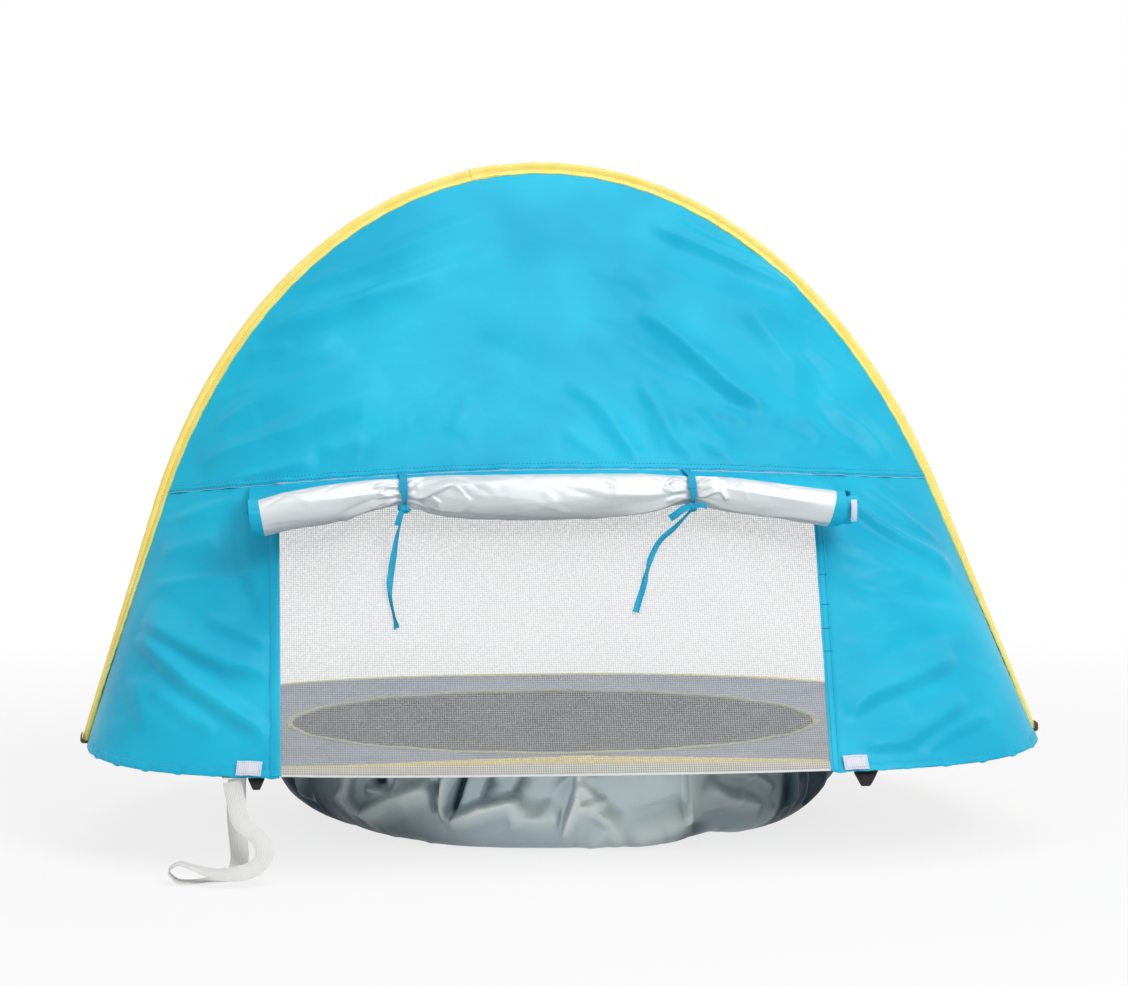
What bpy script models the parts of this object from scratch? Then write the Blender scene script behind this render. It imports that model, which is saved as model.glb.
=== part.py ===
# Pop-up pool tent: a spring-wire floor hoop and a leaning wire arch that share their feet,
# a fabric rear wall with a mesh window and a rolled-up window cover, and a slack pool basin
# that hangs below an opening in the floor. Metres, +Z up, +X to the right seen from behind.
# The origin is on the ground, under the middle of the tent. The rear wall faces -Y.

import bpy
import bmesh
import numpy as np
from math import acos, cos, pi, radians, sin

for old in list(bpy.data.objects):
    bpy.data.objects.remove(old, do_unlink=True)

# Driving dimensions
FLOOR_Z = 0.120          # floor sheet above the ground: the depth of the pool basin
FEET_Y = -0.1623         # the arch's feet, so that the whole tent is centred on Y
HINGE_RISE = 0.0105      # axis on which the arch folds, above the floor sheet
FOOT_X = 0.581           # the arch's wire at its feet, from the middle
ARCH_HALF = 0.534        # half width of the ellipse under the arch's shoulders
ARCH_SLANT = 0.750       # feet to crown, measured in the arch's own leaning plane
ARCH_LEAN = radians(22.5)
CROWN_SHIFT = 0.008      # the crown stands a little left of the middle
LEG_SWAY = 0.003         # and the legs bow a little to the left

FLOOR_HALF = 0.568       # floor hoop wire: half width, reach to the rear and to the front
FLOOR_REAR = 0.235
FLOOR_FRONT = 0.565
FLOOR_BOW = 0.045        # how far the rear of the floor hoop springs inwards
REAR_POWER = 2.5
FRONT_POWER = 2.5

HEM_HALF = 0.579         # lower edge of the rear wall
HEM_REAR = 0.245
HEM_POWER = 2.8
HEM_DROP = 0.005

SEAM_LEFT_Z = 0.301      # cross seam of the wall, above the floor, at its ends and middle
SEAM_RIGHT_Z = 0.314
SEAM_MID_Z = 0.336
SEAM_MID_Y = 0.0135
SEAM_MARGIN = 0.016      # share of the seam's length taken at each end by the arch's sewn edge

WINDOW_LEFT = -0.347
WINDOW_RIGHT_LOW = 0.295
WINDOW_RIGHT_HIGH = 0.309
NET_COLUMNS = 12
NET_ROWS = 7
NET_STRAND = 0.006

POOL_Y = 0.165           # middle of the pool opening, from the feet
POOL_HALF_X = 0.335
POOL_HALF_Y = 0.265

WIRE = 0.0015            # radii of the spring wire, of its sleeve's bore and of the sleeve
BORE = 0.0034
SLEEVE = 0.0047
FLANGE = 0.008           # sewn edge of the sleeve past its round part
SLOT = 0.0014            # the gap that takes the fabric's edge
FLANGE_HALF = 0.0021     # half the thickness of the sewn edge
SLEEVE_START = 0.018     # the arch's sleeve starts this far up from its feet
TOE_RADIUS = 0.0032
TOE_LENGTH = 0.0162
CRIMP_LENGTH = 0.030
CLOTH = 0.0012
GAP = 0.0004
POCKET_HALF = 0.010      # half the length of the webbing pocket at each foot
POCKET_TOP = 0.045       # below this the wall stops short of the arch's legs, past the pockets
POCKET_CLEAR = 0.0115

FLOOR_STEPS = 48
ARCH_STEPS = 36
STRAP_WIDTH = 0.022
STRAP_THICK = 0.0014
TAPE_WIDTH = 0.009
TAPE_THICK = 0.0009


def material(name, colour, rough=0.6, metallic=0.0):
    made = bpy.data.materials.new(name)
    made.use_nodes = True
    shader = made.node_tree.nodes["Principled BSDF"]
    shader.inputs["Base Color"].default_value = (*colour, 1.0)
    shader.inputs["Roughness"].default_value = rough
    shader.inputs["Metallic"].default_value = metallic
    return made


BLUE = material("sky_polyester", (0.03, 0.42, 0.68), 0.42)
YELLOW = material("yellow_binding", (0.95, 0.72, 0.14), 0.6)
SILVER = material("silver_coating", (0.72, 0.73, 0.75), 0.35, 0.3)
POOL = material("pool_coating", (0.42, 0.5, 0.53), 0.35, 0.2)
FLOOR = material("floor_cloth", (0.2, 0.36, 0.6), 0.5)
NET = material("white_net", (0.88, 0.88, 0.88), 0.7)
WHITE = material("white_elastic", (0.86, 0.86, 0.85), 0.8)
HOOK = material("hook_tape", (0.74, 0.77, 0.88), 0.7)
BLACK = material("black_webbing", (0.02, 0.02, 0.022), 0.8)
STEEL = material("spring_steel", (0.45, 0.45, 0.46), 0.35, 1.0)
PLASTIC = material("toe_plastic", (0.3, 0.2, 0.06), 0.5)


def vec(x, y, z):
    return np.array([x, y, z], dtype=float)


def unit(v):
    return v / max(np.linalg.norm(v), 1e-12)


def place(points):
    # From the feet's own frame (floor level, feet on Y = 0) to the tent's frame
    return np.asarray(points, dtype=float) + vec(0.0, FEET_Y, FLOOR_Z)


def new_object(name, mesh, look, smooth=40.0):
    made = bpy.data.objects.new(name, mesh)
    bpy.context.scene.collection.objects.link(made)
    mesh.materials.append(look)
    if smooth:
        mesh.shade_smooth()
        mesh.set_sharp_from_angle(angle=radians(smooth))
    return made


def build_mesh(name, points, faces):
    bm = bmesh.new()
    verts = [bm.verts.new(p) for p in points]
    for face in faces:
        bm.faces.new([verts[i] for i in face])
    bmesh.ops.recalc_face_normals(bm, faces=bm.faces)
    mesh = bpy.data.meshes.new(name)
    bm.to_mesh(mesh)
    bm.free()
    return mesh


def solid(name, points, faces, look, smooth=40.0):
    return new_object(name, build_mesh(name, points, faces), look, smooth)


def along(line, count):
    # Points spaced evenly along a line of points
    line = np.asarray(line)
    run = np.concatenate([[0.0], np.cumsum(np.linalg.norm(np.diff(line, axis=0), axis=1))])
    at = np.linspace(0.0, run[-1], count)
    return np.stack([np.interp(at, run, line[:, k]) for k in range(3)], axis=1)


def at_fraction(line, fraction):
    line = np.asarray(line)
    run = np.concatenate([[0.0], np.cumsum(np.linalg.norm(np.diff(line, axis=0), axis=1))])
    return np.array([np.interp(fraction * run[-1], run, line[:, k]) for k in range(3)])


def smooth_route(points, steps):
    # Catmull-Rom curve through a few chosen points, then evenly spaced
    p = np.asarray(points, dtype=float)
    p = np.vstack([2 * p[0] - p[1], p, 2 * p[-1] - p[-2]])
    fine = []
    for i in range(1, len(p) - 2):
        for t in np.linspace(0.0, 1.0, 8, endpoint=False):
            a, b, c, d = p[i - 1], p[i], p[i + 1], p[i + 2]
            fine.append(0.5 * (2 * b + (c - a) * t + (2 * a - 5 * b + 4 * c - d) * t * t
                               + (3 * b - a - 3 * c + d) * t ** 3))
    fine.append(p[-2])
    return np.array(fine) if steps is None else along(fine, steps)


def tangents(line, closed):
    if closed:
        return np.array([unit(line[(i + 1) % len(line)] - line[i - 1]) for i in range(len(line))])
    grad = np.gradient(line, axis=0)
    return np.array([unit(g) for g in grad])


def sweep(line, side, section, closed=False):
    # A solid along a line. section(i) gives outline points (a, b): a along side, b across it
    line = np.asarray(line)
    run = tangents(line, closed)
    points = []
    for i, centre in enumerate(line):
        a = unit(side[i] - np.dot(side[i], run[i]) * run[i])
        b = np.cross(run[i], a)
        points += [centre + a * u + b * v for u, v in section(i)]
    n = len(section(0))
    rings = len(line)
    faces = []
    for i in range(rings if closed else rings - 1):
        j = (i + 1) % rings
        for k in range(n):
            m = (k + 1) % n
            faces.append((i * n + k, i * n + m, j * n + m, j * n + k))
    if not closed:
        faces.append(tuple(range(n)))
        faces.append(tuple(range((rings - 1) * n, rings * n)))
    return points, faces


def ribbon(line, side, wide, thick, closed=False):
    # A flat tape along a line, wide[i] across at each point. Both faces are split along the same
    # diagonals, so that a twist can't push one face through the other
    points = sweep(line, side, lambda i: [(-wide[i] / 2, -thick / 2), (wide[i] / 2, -thick / 2),
                                          (wide[i] / 2, thick / 2), (-wide[i] / 2, thick / 2)], closed)[0]
    rings = len(line)
    faces = []
    for i in range(rings if closed else rings - 1):
        a = 4 * i
        b = 4 * ((i + 1) % rings)
        faces += [(a, a + 1, b + 1), (a, b + 1, b), (a + 1, a + 2, b + 2, b + 1),
                  (a + 2, a + 3, b + 2), (a + 3, b + 3, b + 2), (a + 3, a, b, b + 3)]
    if not closed:
        last = 4 * rings - 4
        faces += [(0, 1, 2, 3), (last, last + 1, last + 2, last + 3)]
    return points, faces


def cloth(name, grid, look, wrap=False, smooth=70.0):
    # Thickens a grid of points, rows by columns, into one closed skin
    rows, cols = grid.shape[:2]
    faces = []
    for r in range(rows - 1):
        for c in range(cols if wrap else cols - 1):
            d = (c + 1) % cols
            faces.append((r * cols + c, r * cols + d, (r + 1) * cols + d, (r + 1) * cols + c))
    made = solid(name, place(grid.reshape(-1, 3)), faces, look, smooth)
    shell = made.modifiers.new("thickness", "SOLIDIFY")
    shell.thickness = CLOTH
    shell.offset = 0.0


def wire(name, line, radius, look, closed=False):
    data = bpy.data.curves.new(name, "CURVE")
    data.dimensions = "3D"
    spline = data.splines.new("POLY")
    spline.points.add(len(line) - 1)
    for point, at in zip(spline.points, place(line)):
        point.co = (*at, 1.0)
    spline.use_cyclic_u = closed
    data.bevel_depth = radius
    data.bevel_resolution = 1
    data.use_fill_caps = not closed
    data.materials.append(look)
    bpy.context.scene.collection.objects.link(bpy.data.objects.new(name, data))


def slab(name, corners, thick, look):
    # A flat four-cornered strip of cloth, thickened along its own normal
    corners = np.asarray(corners)
    normal = unit(np.cross(corners[1] - corners[0], corners[3] - corners[0]))
    points = np.vstack([corners - normal * thick / 2, corners + normal * thick / 2])
    faces = [(3, 2, 1, 0), (4, 5, 6, 7)] + [(k, (k + 1) % 4, (k + 1) % 4 + 4, k + 4) for k in range(4)]
    solid(name, place(points), faces, look, 0)


def extrude_outline(name, outline, axis, low, high, look):
    # A flat outline pushed along X or Y
    n = len(outline)
    points = []
    for level in (low, high):
        points += [(level, a, b) if axis == "X" else (a, level, b) for a, b in outline]
    faces = [tuple(range(n)), tuple(range(n, 2 * n))]
    faces += [(k, (k + 1) % n, (k + 1) % n + n, k + n) for k in range(n)]
    solid(name, place(points), faces, look, 30.0)


# Curves that everything else hangs on, in the feet's frame

def arch_at(height, x):
    share = height / ARCH_SLANT
    return vec(x - CROWN_SHIFT * share - LEG_SWAY * sin(pi * share), height * sin(ARCH_LEAN),
               height * cos(ARCH_LEAN) + HINGE_RISE)


def arch_line():
    # Straight legs run up from the feet and pass smoothly into an ellipse
    touch = acos(ARCH_HALF / FOOT_X)
    upper = [(ARCH_SLANT * sin(t), ARCH_HALF * cos(t)) for t in np.linspace(pi - touch, touch, 81)]
    route = [(0.0, -FOOT_X)] + upper + [(0.0, FOOT_X)]
    return np.array([arch_at(h, x) for h, x in route])


def superellipse(half, reach, power, turn):
    c, s = cos(turn), sin(turn)
    return half * np.sign(c) * abs(c) ** (2 / power), reach * abs(s) ** (2 / power)


def floor_line():
    line = []
    for turn in np.linspace(0.0, pi, 121):
        x, y = superellipse(FLOOR_HALF, FLOOR_FRONT, FRONT_POWER, turn)
        line.append(vec(x, y, 0.0))
    for turn in np.linspace(pi, 0.0, 121)[1:-1]:
        x, y = superellipse(FLOOR_HALF, FLOOR_REAR, REAR_POWER, turn)
        bow = max(cos(x / 0.44 * pi / 2), 0.0) ** 2 if abs(x) < 0.44 else 0.0
        line.append(vec(x, -y + FLOOR_BOW * bow, 0.006 * bow))
    line.append(line[0])
    return along(line, FLOOR_STEPS + 1)[:-1]


def hem_line():
    line = []
    for turn in np.linspace(pi, 0.0, 241):
        x, y = superellipse(HEM_HALF, HEM_REAR, HEM_POWER, turn)
        rise = 0.010 * (abs(x) / HEM_HALF) ** 12
        line.append(vec(x, -y, rise - HEM_DROP))
    return np.array(line)


ARCH = arch_line()
HEM = hem_line()


def arch_where(z, right):
    half = ARCH[len(ARCH) // 2:] if right else ARCH[:len(ARCH) // 2 + 1]
    order = np.argsort(half[:, 2])
    return np.array([np.interp(z, half[order, 2], half[order, k]) for k in range(3)])


SEAM_LEFT = arch_where(SEAM_LEFT_Z, False)
SEAM_RIGHT = arch_where(SEAM_RIGHT_Z, True)


def seam_at(x):
    end = SEAM_RIGHT if x > 0 else SEAM_LEFT
    share = min(abs(x / end[0]), 1.0)
    return vec(x, SEAM_MID_Y + (end[1] - SEAM_MID_Y) * share ** 4,
               SEAM_MID_Z + (end[2] - SEAM_MID_Z) * share ** 2)


def hem_at(x):
    return np.array([np.interp(x, HEM[:, 0], HEM[:, k]) for k in range(3)])


def hem_part(x_from, x_to, count):
    # Hem points between two x, evenly spaced along the hem
    keep = HEM[(HEM[:, 0] > min(x_from, x_to)) & (HEM[:, 0] < max(x_from, x_to))]
    line = np.vstack([hem_at(min(x_from, x_to)), keep, hem_at(max(x_from, x_to))])
    line = along(line, count)
    return line if x_from < x_to else line[::-1]


def window_point(x, w):
    return hem_at(x) * (1 - w) + seam_at(x) * w


def surface_normal(point, x, w, step=0.004):
    # Outward: away from the inside of the tent
    across = point(x + step, w) - point(x - step, w)
    upward = point(x, min(w + step, 1.0)) - point(x, max(w - step, 0.0))
    return unit(np.cross(across, upward))


def flange_at(height):
    # Width of the sleeve's sewn edge at a height above the feet: it runs out towards the toes
    return 0.0005 + (FLANGE - 0.0005) * np.clip((height - 0.025) / 0.08, 0.0, 1.0)


def window_edge(right, w):
    return WINDOW_RIGHT_LOW * (1 - w) + WINDOW_RIGHT_HIGH * w if right else WINDOW_LEFT


def wall_row(right, w, count=13):
    # A level line across the wall beside the window, from the window's edge to the arch's leg
    gap = 0.0006 if right else -0.0006
    foot = HEM[-1] if right else HEM[0]
    end = SEAM_RIGHT if right else SEAM_LEFT
    low = hem_part(window_edge(right, 0) + gap, foot[0], count)
    high = along([seam_at(x) for x in np.linspace(window_edge(right, 1) + gap, end[0], 40)], count)
    return low * (1 - w) + high * w


def row_way(right, w):
    # The way the wall leaves the arch's leg at a share of the wall's height
    row = wall_row(right, w)
    return unit(row[-2] - row[-1])


def side_grid(right, columns, rows):
    foot = HEM[-1] if right else HEM[0]
    leg = unit((SEAM_RIGHT if right else SEAM_LEFT) - foot)
    grid = np.zeros((rows + 1, columns + 1, 3))
    for r in range(rows + 1):
        w = 0.996 * r / rows
        row = wall_row(right, w)
        way = row_way(right, w)
        slant = np.linalg.norm(way - np.dot(way, leg) * leg)
        clear = (SLEEVE + flange_at(row[-1][2] - HINGE_RISE) + 0.0009) / slant
        if row[-1][2] < POCKET_TOP:
            clear = POCKET_CLEAR
        span = np.linalg.norm(np.diff(row, axis=0), axis=1).sum()
        for c in range(columns + 1):
            grid[r, c] = at_fraction(row, (1.0 - clear / span) * c / columns)
    return grid


def folds(grid, crests):
    # Pushes a grid out along its normals in long soft ridges.
    # A crest is (column and row where it starts, where it ends, half width, height), as shares
    rows, cols = grid.shape[:2]
    across = np.gradient(grid, axis=1)
    upward = np.gradient(grid, axis=0)
    normal = np.cross(across, upward)
    normal /= np.linalg.norm(normal, axis=2, keepdims=True)
    lift = np.zeros((rows, cols))
    for start, end, half, height in crests:
        a = np.array(start)
        b = np.array(end)
        for r in range(rows):
            for c in range(cols):
                p = np.array([c / (cols - 1), r / (rows - 1)])
                t = np.clip(np.dot(p - a, b - a) / np.dot(b - a, b - a), 0.0, 1.0)
                far = np.linalg.norm(p - a - (b - a) * t)
                ease = sin(pi * (0.12 + 0.76 * t))
                lift[r, c] += height * ease * max(0.0, 1.0 - (far / half) ** 2) ** 2
    edge = np.ones((rows, cols))
    edge[0] = edge[-1] = 0.0
    edge[:, 0] = edge[:, -1] = 0.0
    return grid + normal * (lift * edge)[..., None]


def upper_arch():
    # The part of the arch above the seam's ends
    low_left = next(i for i, p in enumerate(ARCH) if p[2] > SEAM_LEFT_Z)
    low_right = max(i for i, p in enumerate(ARCH) if p[2] > SEAM_RIGHT_Z)
    return np.vstack([SEAM_LEFT, ARCH[low_left:low_right + 1], SEAM_RIGHT])


UPPER = upper_arch()
SEAM = np.array([seam_at(x) for x in np.linspace(SEAM_LEFT[0], SEAM_RIGHT[0], 81)])


# Spring wires, their sleeves and the crimps that join each wire's ends

def sleeve_outline(flange):
    outer = [(-SLEEVE * cos(radians(a)), SLEEVE * sin(radians(a))) for a in (-140, -70, 0, 70, 140)]
    inner = [(-BORE * cos(radians(a)), BORE * sin(radians(a))) for a in (168, 84, 0, -84, -168)]
    tip = SLEEVE + flange
    half = SLOT / 2
    return outer + [(tip, FLANGE_HALF), (tip, half)] + inner + [(tip, -half), (tip, -FLANGE_HALF)]


def floor_hoop():
    line = floor_line()
    middle = vec(0.0, POOL_Y, 0.0)
    inward = []
    for i, p in enumerate(line):
        run = unit(line[(i + 1) % len(line)] - line[i - 1])
        side = np.cross(vec(0, 0, 1), run)
        inward.append(side if np.dot(side, middle - p) > 0 else -side)
    points, faces = sweep(line, inward, lambda i: sleeve_outline(FLANGE), closed=True)
    solid("floor_sleeve", place(points), faces, YELLOW)
    wire("floor_wire", line, WIRE, STEEL, closed=True)
    return line, np.array(inward)


def crimp(name, a, b):
    # The short tube that joins the wire's ends, halfway between two points of the wire
    middle = (a + b) / 2
    run = unit(b - a)
    line = [middle - run * CRIMP_LENGTH / 2, middle + run * CRIMP_LENGTH / 2]
    side = np.cross(run, vec(0, 0, 1)) if abs(run[2]) < 0.9 else np.cross(run, vec(0, 1, 0))
    sides = 10
    outer, inner = 0.0024, 0.0018
    points = []
    for p in line:
        u = unit(side)
        v = np.cross(run, u)
        for r in (outer, inner):
            points += [p + u * r * cos(2 * pi * k / sides) + v * r * sin(2 * pi * k / sides)
                       for k in range(sides)]
    faces = []
    for k in range(sides):
        m = (k + 1) % sides
        faces.append((k, m, m + 2 * sides, k + 2 * sides))
        faces.append((k + sides, k + 3 * sides, m + 3 * sides, m + sides))
        faces.append((k, k + sides, m + sides, m))
        faces.append((k + 2 * sides, m + 2 * sides, m + 3 * sides, k + 3 * sides))
    solid(name, place(points), faces, STEEL)


def arch_flange_sides(line):
    # The sewn edge follows the cloth: along the wall beside the legs, down the wall at the top
    sides = []
    run = np.concatenate([[0], np.cumsum(np.linalg.norm(np.diff(UPPER, axis=0), axis=1))])
    for p in line:
        right = p[0] > 0
        end = SEAM_RIGHT if right else SEAM_LEFT
        if p[2] < end[2]:
            sides.append(row_way(right, p[2] / end[2]))
        else:
            near = np.argmin(np.linalg.norm(UPPER - p, axis=1))
            sides.append(unit(at_fraction(SEAM, run[near] / run[-1]) - p))
    sides = np.array(sides)
    for _ in range(4):
        sides[1:-1] = (sides[:-2] + 2 * sides[1:-1] + sides[2:]) / 4
    return sides


def arch_hoop():
    length = np.linalg.norm(np.diff(ARCH, axis=0), axis=1).sum()
    line = along(ARCH, 400)
    share = SLEEVE_START / length
    inner = along([at_fraction(ARCH, share), *line[(line[:, 2] > 0.04)], at_fraction(ARCH, 1 - share)],
                  ARCH_STEPS + 1)
    sides = arch_flange_sides(inner)

    points, faces = sweep(inner, sides, lambda i: sleeve_outline(flange_at(inner[i][2] - HINGE_RISE)))
    solid("arch_sleeve", place(points), faces, YELLOW)
    tip = (TOE_LENGTH + GAP) / length
    wire("arch_wire", np.vstack([at_fraction(ARCH, tip), inner[1:-1], at_fraction(ARCH, 1 - tip)]),
         WIRE, STEEL)
    for name, at, towards in (("toe_cap_left", ARCH[0], inner[1]), ("toe_cap_right", ARCH[-1], inner[-2])):
        way = unit(towards - at)
        points, faces = smooth_cap(at, way)
        solid(name, place(points), faces, PLASTIC)
    return inner, sides


def smooth_cap(at, way):
    # A short round rod with a domed foot
    sides = 10
    side = unit(np.cross(way, vec(0, 1, 0)))
    other = np.cross(way, side)
    levels = [(-0.96, 0.28), (-0.7, 0.71), (0.0, 1.0), (TOE_LENGTH / TOE_RADIUS, 1.0)]
    points = []
    for level, share in levels:
        centre = at + way * TOE_RADIUS * level
        for k in range(sides):
            a = 2 * pi * k / sides
            points.append(centre + TOE_RADIUS * share * (side * cos(a) + other * sin(a)))
    faces = [tuple(range(sides)), tuple(range(len(points) - sides, len(points)))]
    for r in range(len(levels) - 1):
        for k in range(sides):
            m = (k + 1) % sides
            faces.append((r * sides + k, r * sides + m, (r + 1) * sides + m, (r + 1) * sides + k))
    return points, faces


floor_ring, floor_inward = floor_hoop()
arch_ring, arch_sides = arch_hoop()

rear_low = min(range(FLOOR_STEPS), key=lambda i: abs(floor_ring[i][0] + 0.1) + (floor_ring[i][1] > 0))
crimp("floor_crimp", floor_ring[rear_low], floor_ring[(rear_low + 1) % FLOOR_STEPS])
crown = ARCH_STEPS // 2
crimp("arch_crimp", arch_ring[crown], arch_ring[crown + 1])


def binding_lap(name, a, b, side_a, side_b, start, stop):
    # Where the ends of a binding lap: a second turn of tape over the sleeve, between two of its rings
    line = [a * (1 - t) + b * t for t in (start, stop)]
    reach = SLEEVE + GAP
    outer = reach + 0.0010
    inner = reach * 1.06
    turns = (-125, -70, 0, 70, 125)
    outline = [(-outer * cos(radians(t)), outer * sin(radians(t))) for t in turns]
    outline += [(-inner * cos(radians(t)), inner * sin(radians(t))) for t in reversed(turns)]
    points, faces = sweep(line, [side_a, side_b], lambda i: outline)
    solid(name, place(points), faces, YELLOW)


binding_lap("arch_binding_lap", arch_ring[crown - 2], arch_ring[crown - 1],
            arch_sides[crown - 2], arch_sides[crown - 1], 0.25, 0.75)
lap_at = min(range(FLOOR_STEPS), key=lambda i: abs(floor_ring[i][0]) + (floor_ring[i][1] > 0))
binding_lap("floor_binding_lap", floor_ring[lap_at], floor_ring[lap_at + 1],
            floor_inward[lap_at], floor_inward[lap_at + 1], 0.3, 0.7)


# Floor sheet, pool binding and pool basin

def pool_rim(turn, grow=0.0, z=0.0):
    return vec((POOL_HALF_X + grow) * cos(turn), POOL_Y + (POOL_HALF_Y + grow) * sin(turn), z)


def floor_sheet():
    outer = floor_ring + floor_inward * (SLEEVE + FLANGE + GAP + 0.0002)
    grid = np.zeros((4, FLOOR_STEPS, 3))
    for c, edge in enumerate(outer):
        turn = np.arctan2((edge[1] - POOL_Y) / POOL_HALF_Y, edge[0] / POOL_HALF_X)
        inner = pool_rim(turn, 0.0046)
        for r, share in enumerate((0.0, 0.33, 0.7, 1.0)):
            grid[r, c] = edge * (1 - share) + inner * share
            grid[r, c][2] -= 0.004 * sin(pi * share) * (0.6 + 0.4 * sin(3 * turn))
    cloth("floor_sheet", grid, FLOOR, wrap=True)


def rim_binding():
    steps = 44
    line = np.array([pool_rim(2 * pi * k / steps) for k in range(steps)])
    outward = line - vec(0.0, POOL_Y, 0.0)
    outline = [(-0.0036, -0.0006), (-0.002, -0.0014), (0.0034, -0.0014), (0.0034, 0.0014),
               (-0.002, 0.0014), (-0.0036, 0.0006)]
    points, faces = sweep(line, outward, lambda i: outline, closed=True)
    solid("pool_rim_binding", place(points), faces, YELLOW)


def pool_basin():
    # Slack bowl: nearly upright walls with folds, a rounded lower edge and a flat base
    steps = 40
    rows = [(0.0, 0.998), (0.10, 1.016), (0.30, 1.038), (0.55, 1.030), (0.78, 0.992), (0.93, 0.928),
            (1.0, 0.86), (1.0, 0.62), (1.0, 0.34)]
    fold_turns = [(-2.45, 0.011), (-2.1, -0.010), (-1.95, 0.012), (-1.62, -0.008), (-1.25, 0.010),
                  (-0.95, -0.011), (-0.55, 0.009), (0.4, 0.009), (1.1, -0.009), (1.8, 0.010), (2.6, -0.009)]
    grid = np.zeros((len(rows), steps, 3))
    top = -0.0022
    for r, (down, share) in enumerate(rows):
        for c in range(steps):
            turn = 2 * pi * c / steps
            push = 0.0
            for at, size in fold_turns:
                gap = (turn - at + pi) % (2 * pi) - pi
                push += size * np.exp(-(gap / 0.09) ** 2)
            sway = sin(pi * min(down, 0.98)) if down < 1.0 else 0.0
            z = top + (-(FLOOR_Z) - top) * down
            x = POOL_HALF_X * share * cos(turn)
            y = POOL_HALF_Y * share * sin(turn)
            out = unit(vec(x, y, 0.0))
            grid[r, c] = vec(x, y + POOL_Y, z) + out * (push * sway)
    centre = vec(0.0, POOL_Y, -FLOOR_Z)
    faces = []
    for r in range(len(rows) - 1):
        for c in range(steps):
            d = (c + 1) % steps
            faces.append((r * steps + c, (r + 1) * steps + c, (r + 1) * steps + d, r * steps + d))
    last = (len(rows) - 1) * steps
    for c in range(steps):
        faces.append((last + c, last + steps, last + (c + 1) % steps))
    points = np.vstack([grid.reshape(-1, 3), centre])
    made = solid("pool_basin", place(points), faces, POOL, 60.0)
    shell = made.modifiers.new("thickness", "SOLIDIFY")
    shell.thickness = 0.0016
    shell.offset = -1.0


floor_sheet()
rim_binding()
pool_basin()


# Rear wall: two side panels, the upper panel, the mesh window and the tapes on their seams

def side_panels():
    left = side_grid(False, 9, 10)
    crests = [((0.05, 0.95), (0.95, 0.30), 0.09, 0.006), ((0.05, 0.70), (0.95, 0.15), 0.07, 0.004),
              ((0.02, 0.45), (0.80, 0.05), 0.08, 0.005)]
    cloth("wall_panel_left", folds(left[:, ::-1], [((1 - a[0], a[1]), (1 - b[0], b[1]), h, s)
                                                   for a, b, h, s in crests]), BLUE)
    right = side_grid(True, 9, 10)
    crests = [((0.10, 0.90), (0.90, 0.25), 0.09, 0.006), ((0.05, 0.10), (0.85, 0.55), 0.08, 0.005)]
    cloth("wall_panel_right", folds(right, crests), BLUE)


def upper_panel():
    columns, rows = 26, 8
    grid = np.zeros((rows + 1, columns + 1, 3))
    for c in range(columns + 1):
        share = SEAM_MARGIN + (1.0 - 2.0 * SEAM_MARGIN) * c / columns
        low = at_fraction(SEAM, share)
        high = at_fraction(UPPER, share)
        way = unit(low - high)
        ahead = at_fraction(UPPER, min(share + 0.004, 1.0)) - at_fraction(UPPER, share - 0.004)
        slant = np.linalg.norm(way - np.dot(way, unit(ahead)) * unit(ahead))
        high = high + way * (SLEEVE + FLANGE + 0.0018) / slant
        low = low + (high - low) * 0.002 / max(np.linalg.norm(high - low), 0.01)
        for r in range(rows + 1):
            w = r / rows
            grid[r, c] = low * (1 - w) + high * w
    crests = [((0.62, 0.85), (0.80, 0.55), 0.05, 0.006), ((0.55, 0.55), (0.84, 0.25), 0.06, 0.005),
              ((0.36, 0.10), (0.40, 0.60), 0.05, 0.005), ((0.50, 0.05), (0.52, 0.55), 0.05, 0.005),
              ((0.63, 0.05), (0.60, 0.50), 0.05, 0.004), ((0.20, 0.80), (0.36, 0.45), 0.06, 0.005)]
    cloth("wall_panel_upper", folds(grid, crests), BLUE)


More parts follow.
